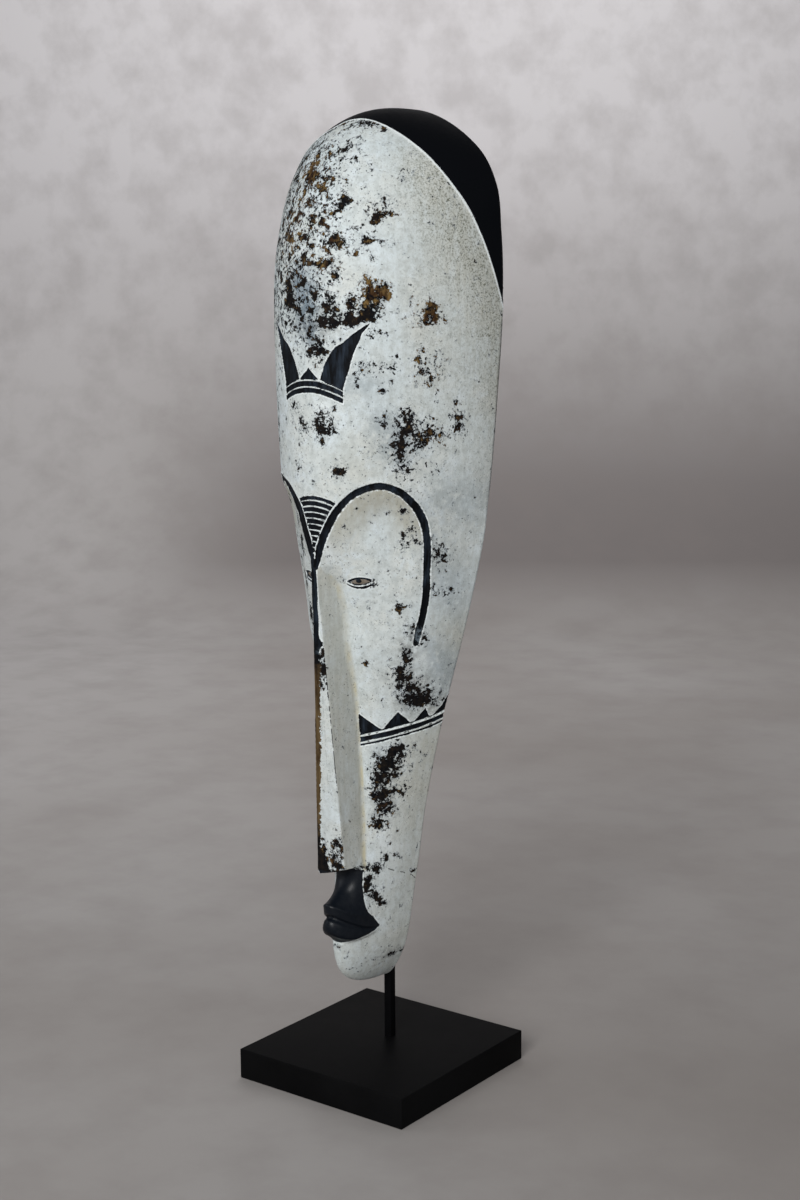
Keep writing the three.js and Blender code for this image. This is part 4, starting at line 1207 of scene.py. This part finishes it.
def paintedWood():
    material, shader, spot = newMaterial("paintedWood")
    tree = spot.id_data
    told = {
        name: addNode(tree, "Attribute", attribute_type="GEOMETRY", attribute_name=name).outputs["Fac"]
        for name in layerNames
    }
    noises = {name: noiseNode(spot, *row) for name, row in broken.items()}
    noises["strokes"] = noiseNode(drawnOut(spot, brushStrokes["drawnOut"]), *brushStrokes["noise"])

    def part(name, *reach):
        return mapped(noises[name], *reach)

    # white chalk paint, brushed and mottled, with soil, painted shade, dark dots and thin films on it
    white = paint["white"]
    for colour, field, name, *reach in coats:
        share = part(name, *reach)
        white = mixColour(times(told[field], share) if field else share, white, paint[colour])
    dots = times(part("pepper", 0.49, 0.60), times(told["stipple"], part("mottle", 0.36, 0.6, 0.35, 1.0)))
    white = mixColour(times(dots, 0.85), white, paint["stipple"])
    specks = times(part("speck", 0.62, 0.67), part("cloud", 0.40, 0.58, 0.1, 0.8))
    white = mixColour(specks, white, paint["speck"])
    film = times(told["film"], part("mottle", 0.38, 0.62))
    white = mixColour(times(film, 0.8), white, paint["film"])

    # flakes show black paint and, where that is gone too, charred or ochre wood
    chips = told["chips"]
    large = useGroup(
        tree, flakes, Vector=spot, Density=chips, Scale=finish["flakeScale"], Ragged=finish["flakeRagged"])
    small = useGroup(
        tree, flakes, Vector=spot, Density=timesPlus(chips, 0.9, -0.04), Scale=finish["crumbScale"],
        Ragged=finish["crumbRagged"])
    lost, thin = larger(large["Lost"], small["Lost"]), larger(large["Thin"], small["Thin"])
    wood = useGroup(tree, grain, Vector=spot, Dark=paint["umber"], Light=paint["ochre"])["Color"]
    sooty = mixColour(part("tone", 0.38, 0.62), paint["black"], paint["charred"])
    bareShare = mapped(timesPlus(told["brown"], 0.22, noises["tone"]), 0.64, 0.78)
    white = mixColour(times(thin, part("pepper", 0.38, 0.6, 0.1, 0.9)), white, paint["halo"])
    colour = mixColour(lost, white, mixColour(bareShare, sooty, wood))

    # painted highlight: brighter white along the carved edges beside the black, and along the hairline
    edgeHighlight = times(mapped(told["ink"], 1.5, 0.8), part("fray", 0.44, 0.54))
    hairlineHighlight = times(mapped(told["coif"], 2.4, 1.4), part("fray", 0.32, 0.42))
    colour = mixColour(larger(edgeHighlight, hairlineHighlight), colour, paint["brightAndHighlight"])

    # the far edge of the nose is rubbed through, black above and brown below, and the near one is scratched
    frayed = timesPlus(noises["fray"], -13.0, plus(told["edgeWear"], 6.5))
    height = heightOf(spot)
    brown = plus(times(mapped(height, 0.435, 0.405), mapped(height, 0.24, 0.30)), noises["tone"])
    rubbed = mixColour(part("strokes", 0.4, 0.6), paint["rubbedDark"], paint["rubbed"])
    rubbed = mixColour(mapped(brown, 0.7, 1.2), sooty, rubbed)
    colour = mixColour(within(frayed, 0.15), colour, rubbed)
    scratch = times(mapped(mathNode("ABSOLUTE", told["arris"]), 0.9, 0.6), part("dash", 0.43, 0.47))
    split = times(mapped(told["crack"], 0.25, 0.0), part("fray", 0.36, 0.46))
    colour = mixColour(larger(scratch, split), colour, sooty)

    # black painted shapes with white lines left standing in them
    sheen = times(part("strokes", 0.42, 0.66), part("cloud", 0.40, 0.60))
    black = mixColour(sheen, paint["black"], paint["brushed"])
    wobble = timesPlus(noises["fray"], 1.5, timesPlus(noises["sway"], 1.6, -1.55))
    lined = times(within(plus(told["line"], wobble), 0.15), part("dash", 0.36, 0.44, 0.25, 1.0))
    inked = times(within(plus(told["ink"], wobble), 0.12), minus(1.0, lined))
    worn = times(small["Thin"], mapped(chips, 0.4, 0.9, 0.0, 0.5))
    colour = mixColour(inked, colour, mixColour(worn, black, paint["scrubbed"]))
    hair, lips = within(told["coif"], 0.1), within(told["lips"], 0.5)
    colour = mixColour(hair, colour, paint["black"])
    colour = mixColour(lips, colour, paint["lips"])
    ball = times(within(told["ball"], 0.1), mapped(told["ink"], -0.1, 0.1))
    colour = mixColour(ball, colour, mixColour(noises["tone"], paint["ball"], paint["ballPale"]))
    inner = useGroup(tree, grain, Vector=spot, Dark=paint["hollowDark"], Light=paint["hollowLight"])["Color"]
    colour = mixColour(mapped(plus(told["bare"], noises["fray"]), 0.9, 1.1), colour, inner)

    smooth = timesPlus(inked, -0.35, 0.5)
    relief = timesPlus(minus(1.0, lost), 0.5, times(noises["grit"], smooth))
    relief = timesPlus(noises["strokes"], smooth, plus(relief, times(noises["fleck"], 0.5)))
    fill(shader, {
        "Base Color": colour,
        "Roughness": timesPlus(noises["mottle"], 0.12, timesPlus(inked, -0.28, 0.80)),
        "Specular IOR Level": timesPlus(hair, -finish["hairGloss"], finish["gloss"]),
        "Coat Weight": times(lips, part("mottle", 0.35, 0.65, 0.18, 0.42)),
        "Coat Roughness": finish["coatRoughness"],
        "Normal": bumped(relief, finish["bump"], finish["relief"]),
    })
    return material


# Black finish of the stand, with a little dust in it
blackCoat = {"paler": 1.7, "dust": (0.05, 0.05, 0.048, 1), "gloss": 0.014, "bump": 0.15, "relief": 0.0004}


def blackFinish(name, colour, rough, scale):
    material, shader, spot = newMaterial(name)
    cloud = noiseNode(spot, scale, 5.0, 0.6)
    fine = noiseNode(spot, scale * 30, 3.0, 0.6)
    paler = [part * blackCoat["paler"] for part in colour]
    base = mixColour(mapped(cloud, 0.3, 0.7), (*colour, 1), (*paler, 1))
    fill(shader, {
        "Base Color": mixColour(mapped(fine, 0.70, 0.78, 0.0, 0.25), base, blackCoat["dust"]),
        "Roughness": mapped(cloud, 0.3, 0.7, rough - 0.05, rough + 0.07),
        "Specular IOR Level": blackCoat["gloss"],
        "Normal": bumped(fine, blackCoat["bump"], blackCoat["relief"]),
    })
    return material


addPiece("carved_mask", buildMask(), "mask", paintedWood())

steel = blackFinish("blackSteel", (0.003, 0.003, 0.0034), 0.38, 40.0)
lacquer = blackFinish("blackLacquer", (0.0035, 0.0035, 0.0037), 0.42, 14.0)
low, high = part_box("stand_rod")
addPiece("rod", barMesh("rod", low, high, stand["rodEdge"]), "stand_rod", steel)
low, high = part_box("base_plate")
addPiece("plate", barMesh("plate", low, high, stand["plateEdge"]), "base_plate", lacquer)
print("stand made")


# Pale floor that sweeps up behind, with painted light and shade: lighter towards the top and far behind on
# the left, darker at low and middle heights
stage = {
    "half": 5.0, "behind": 2.4, "radius": 0.9, "front": 4.0, "high": 4.0, "turn": math.radians(35.6),
    "steps": 16, "roughness": 0.8,
    # the colours for the top and the far left are painted light, and the one for middle heights painted shade
    "dark": (0.29, 0.265, 0.25, 1), "pale": (0.36, 0.34, 0.33, 1), "top": (0.62, 0.60, 0.61, 1),
    "stain": (0.22, 0.195, 0.185, 1), "paintedShade": (0.19, 0.17, 0.165, 1), "paintedLight": (0.44, 0.42, 0.415, 1),
}


# How far a spot lies along a direction on the ground
def reachAlong(spot, x, y):
    node = addNode(spot.id_data, "VectorMath", operation="DOT_PRODUCT")
    return fill(node, {0: spot, 1: (x, y, 0.0)})["Value"]


def paleGround():
    material, shader, spot = newMaterial("paleGround")
    turn = stage["turn"]
    across = reachAlong(spot, math.cos(turn), math.sin(turn))
    away = reachAlong(spot, -math.sin(turn), math.cos(turn))
    height = heightOf(spot)
    cloud = noiseNode(spot, 1.3, 2.0, 0.5, 0.2)
    fine = noiseNode(spot, 9.0, 7.0, 0.6)
    # painted light: lighter far behind on the left
    paintedLightFarLeft = times(mapped(away, 0.3, 1.6, smooth=True), mapped(across, -0.1, -1.0, 0.0, 0.8))
    # painted shade: darker at low and middle heights, from the middle to the right
    paintedShade = times(mapped(height, 0.0, 0.12), mapped(height, 1.1, 0.3))
    paintedShade = times(paintedShade, mapped(across, -0.9, -0.3, smooth=True))
    base = mixColour(mapped(cloud, 0.35, 0.65), stage["dark"], stage["pale"])
    # the top colour is painted light, lighter towards the top
    for name, share in (
        ("paintedLight", paintedLightFarLeft), ("paintedShade", paintedShade), ("top", mapped(height, 0.15, 1.35, smooth=True)),
        ("stain", mapped(fine, 0.42, 0.66, 0.0, 0.26)),
    ):
        base = mixColour(share, base, stage[name])
    fill(shader, {"Base Color": base, "Roughness": stage["roughness"]})
    return material


def backdrop():
    behind, radius = stage["behind"], stage["radius"]
    profile = [(-stage["front"], 0.0), (behind, 0.0)]
    for step in range(1, stage["steps"] + 1):
        angle = math.pi / 2 * step / stage["steps"]
        profile.append((behind + radius * math.sin(angle), radius * (1 - math.cos(angle))))
    profile.append((behind + radius, stage["high"]))
    bm = bmesh.new()
    row = [bm.verts.new((-stage["half"], y, z)) for y, z in profile]
    edges = [bm.edges.new(pair) for pair in zip(row[:-1], row[1:])]
    made = bmesh.ops.extrude_edge_only(bm, edges=edges)["geom"]
    fresh = [item for item in made if isinstance(item, bmesh.types.BMVert)]
    bmesh.ops.translate(bm, vec=(2 * stage["half"], 0, 0), verts=fresh)
    bmesh.ops.recalc_face_normals(bm, faces=bm.faces)
    bmesh.ops.transform(bm, matrix=Matrix.Rotation(stage["turn"], 4, "Z"), verts=bm.verts)
    mesh = meshFrom(bm, "backdrop")
    mesh.shade_smooth()
    mesh.materials.append(paleGround())
    floor = bpy.data.objects.new("backdrop", mesh)
    scene.collection.objects.link(floor)


# Soft lights: a large one from the front, a weak one on each side, one for the ground behind, and a pale sky
lights = [
    # name, place, aim, size, watts, colour
    ("key", (0.95, -2.55, 1.55), (0, 0, 0.55), 1.3, 64.0, (1.0, 1.0, 0.985)),
    ("left", (-2.2, -1.4, 1.2), (0, 0, 0.5), 1.4, 9.0, (0.95, 0.97, 1.0)),
    ("right", (2.5, -0.8, 1.1), (0, 0, 0.5), 1.4, 5.5, (1.0, 0.98, 0.95)),
    ("ground", (-0.7, 1.2, 2.7), (-2.6, 2.2, 1.2), 2.0, 50.0, (1.0, 1.0, 1.0)),
]
sky = {"colour": (0.84, 0.86, 0.90, 1), "strength": 0.22, "seenStrength": 0.62}


def addLights():
    for name, place, aim, size, watts, colour in lights:
        data = bpy.data.lights.new(name, "AREA")
        data.size, data.energy, data.color = size, watts, colour
        lamp = bpy.data.objects.new(name, data)
        lamp.location = place
        lamp.rotation_euler = (Vector(aim) - Vector(place)).to_track_quat("-Z", "Y").to_euler()
        lamp.visible_camera = False
        scene.collection.objects.link(lamp)
    world = bpy.data.worlds.new("sky")
    world.use_nodes = True
    seen = addNode(world.node_tree, "LightPath").outputs["Is Camera Ray"]
    strength = mapped(seen, 0, 1, sky["strength"], sky["seenStrength"])
    fill(world.node_tree.nodes["Background"], {"Color": sky["colour"], "Strength": strength})
    scene.world = world
    scene.view_settings.view_transform = "Standard"
    scene.view_settings.look = "None"


backdrop()
addLights()
print("stage and lights set")
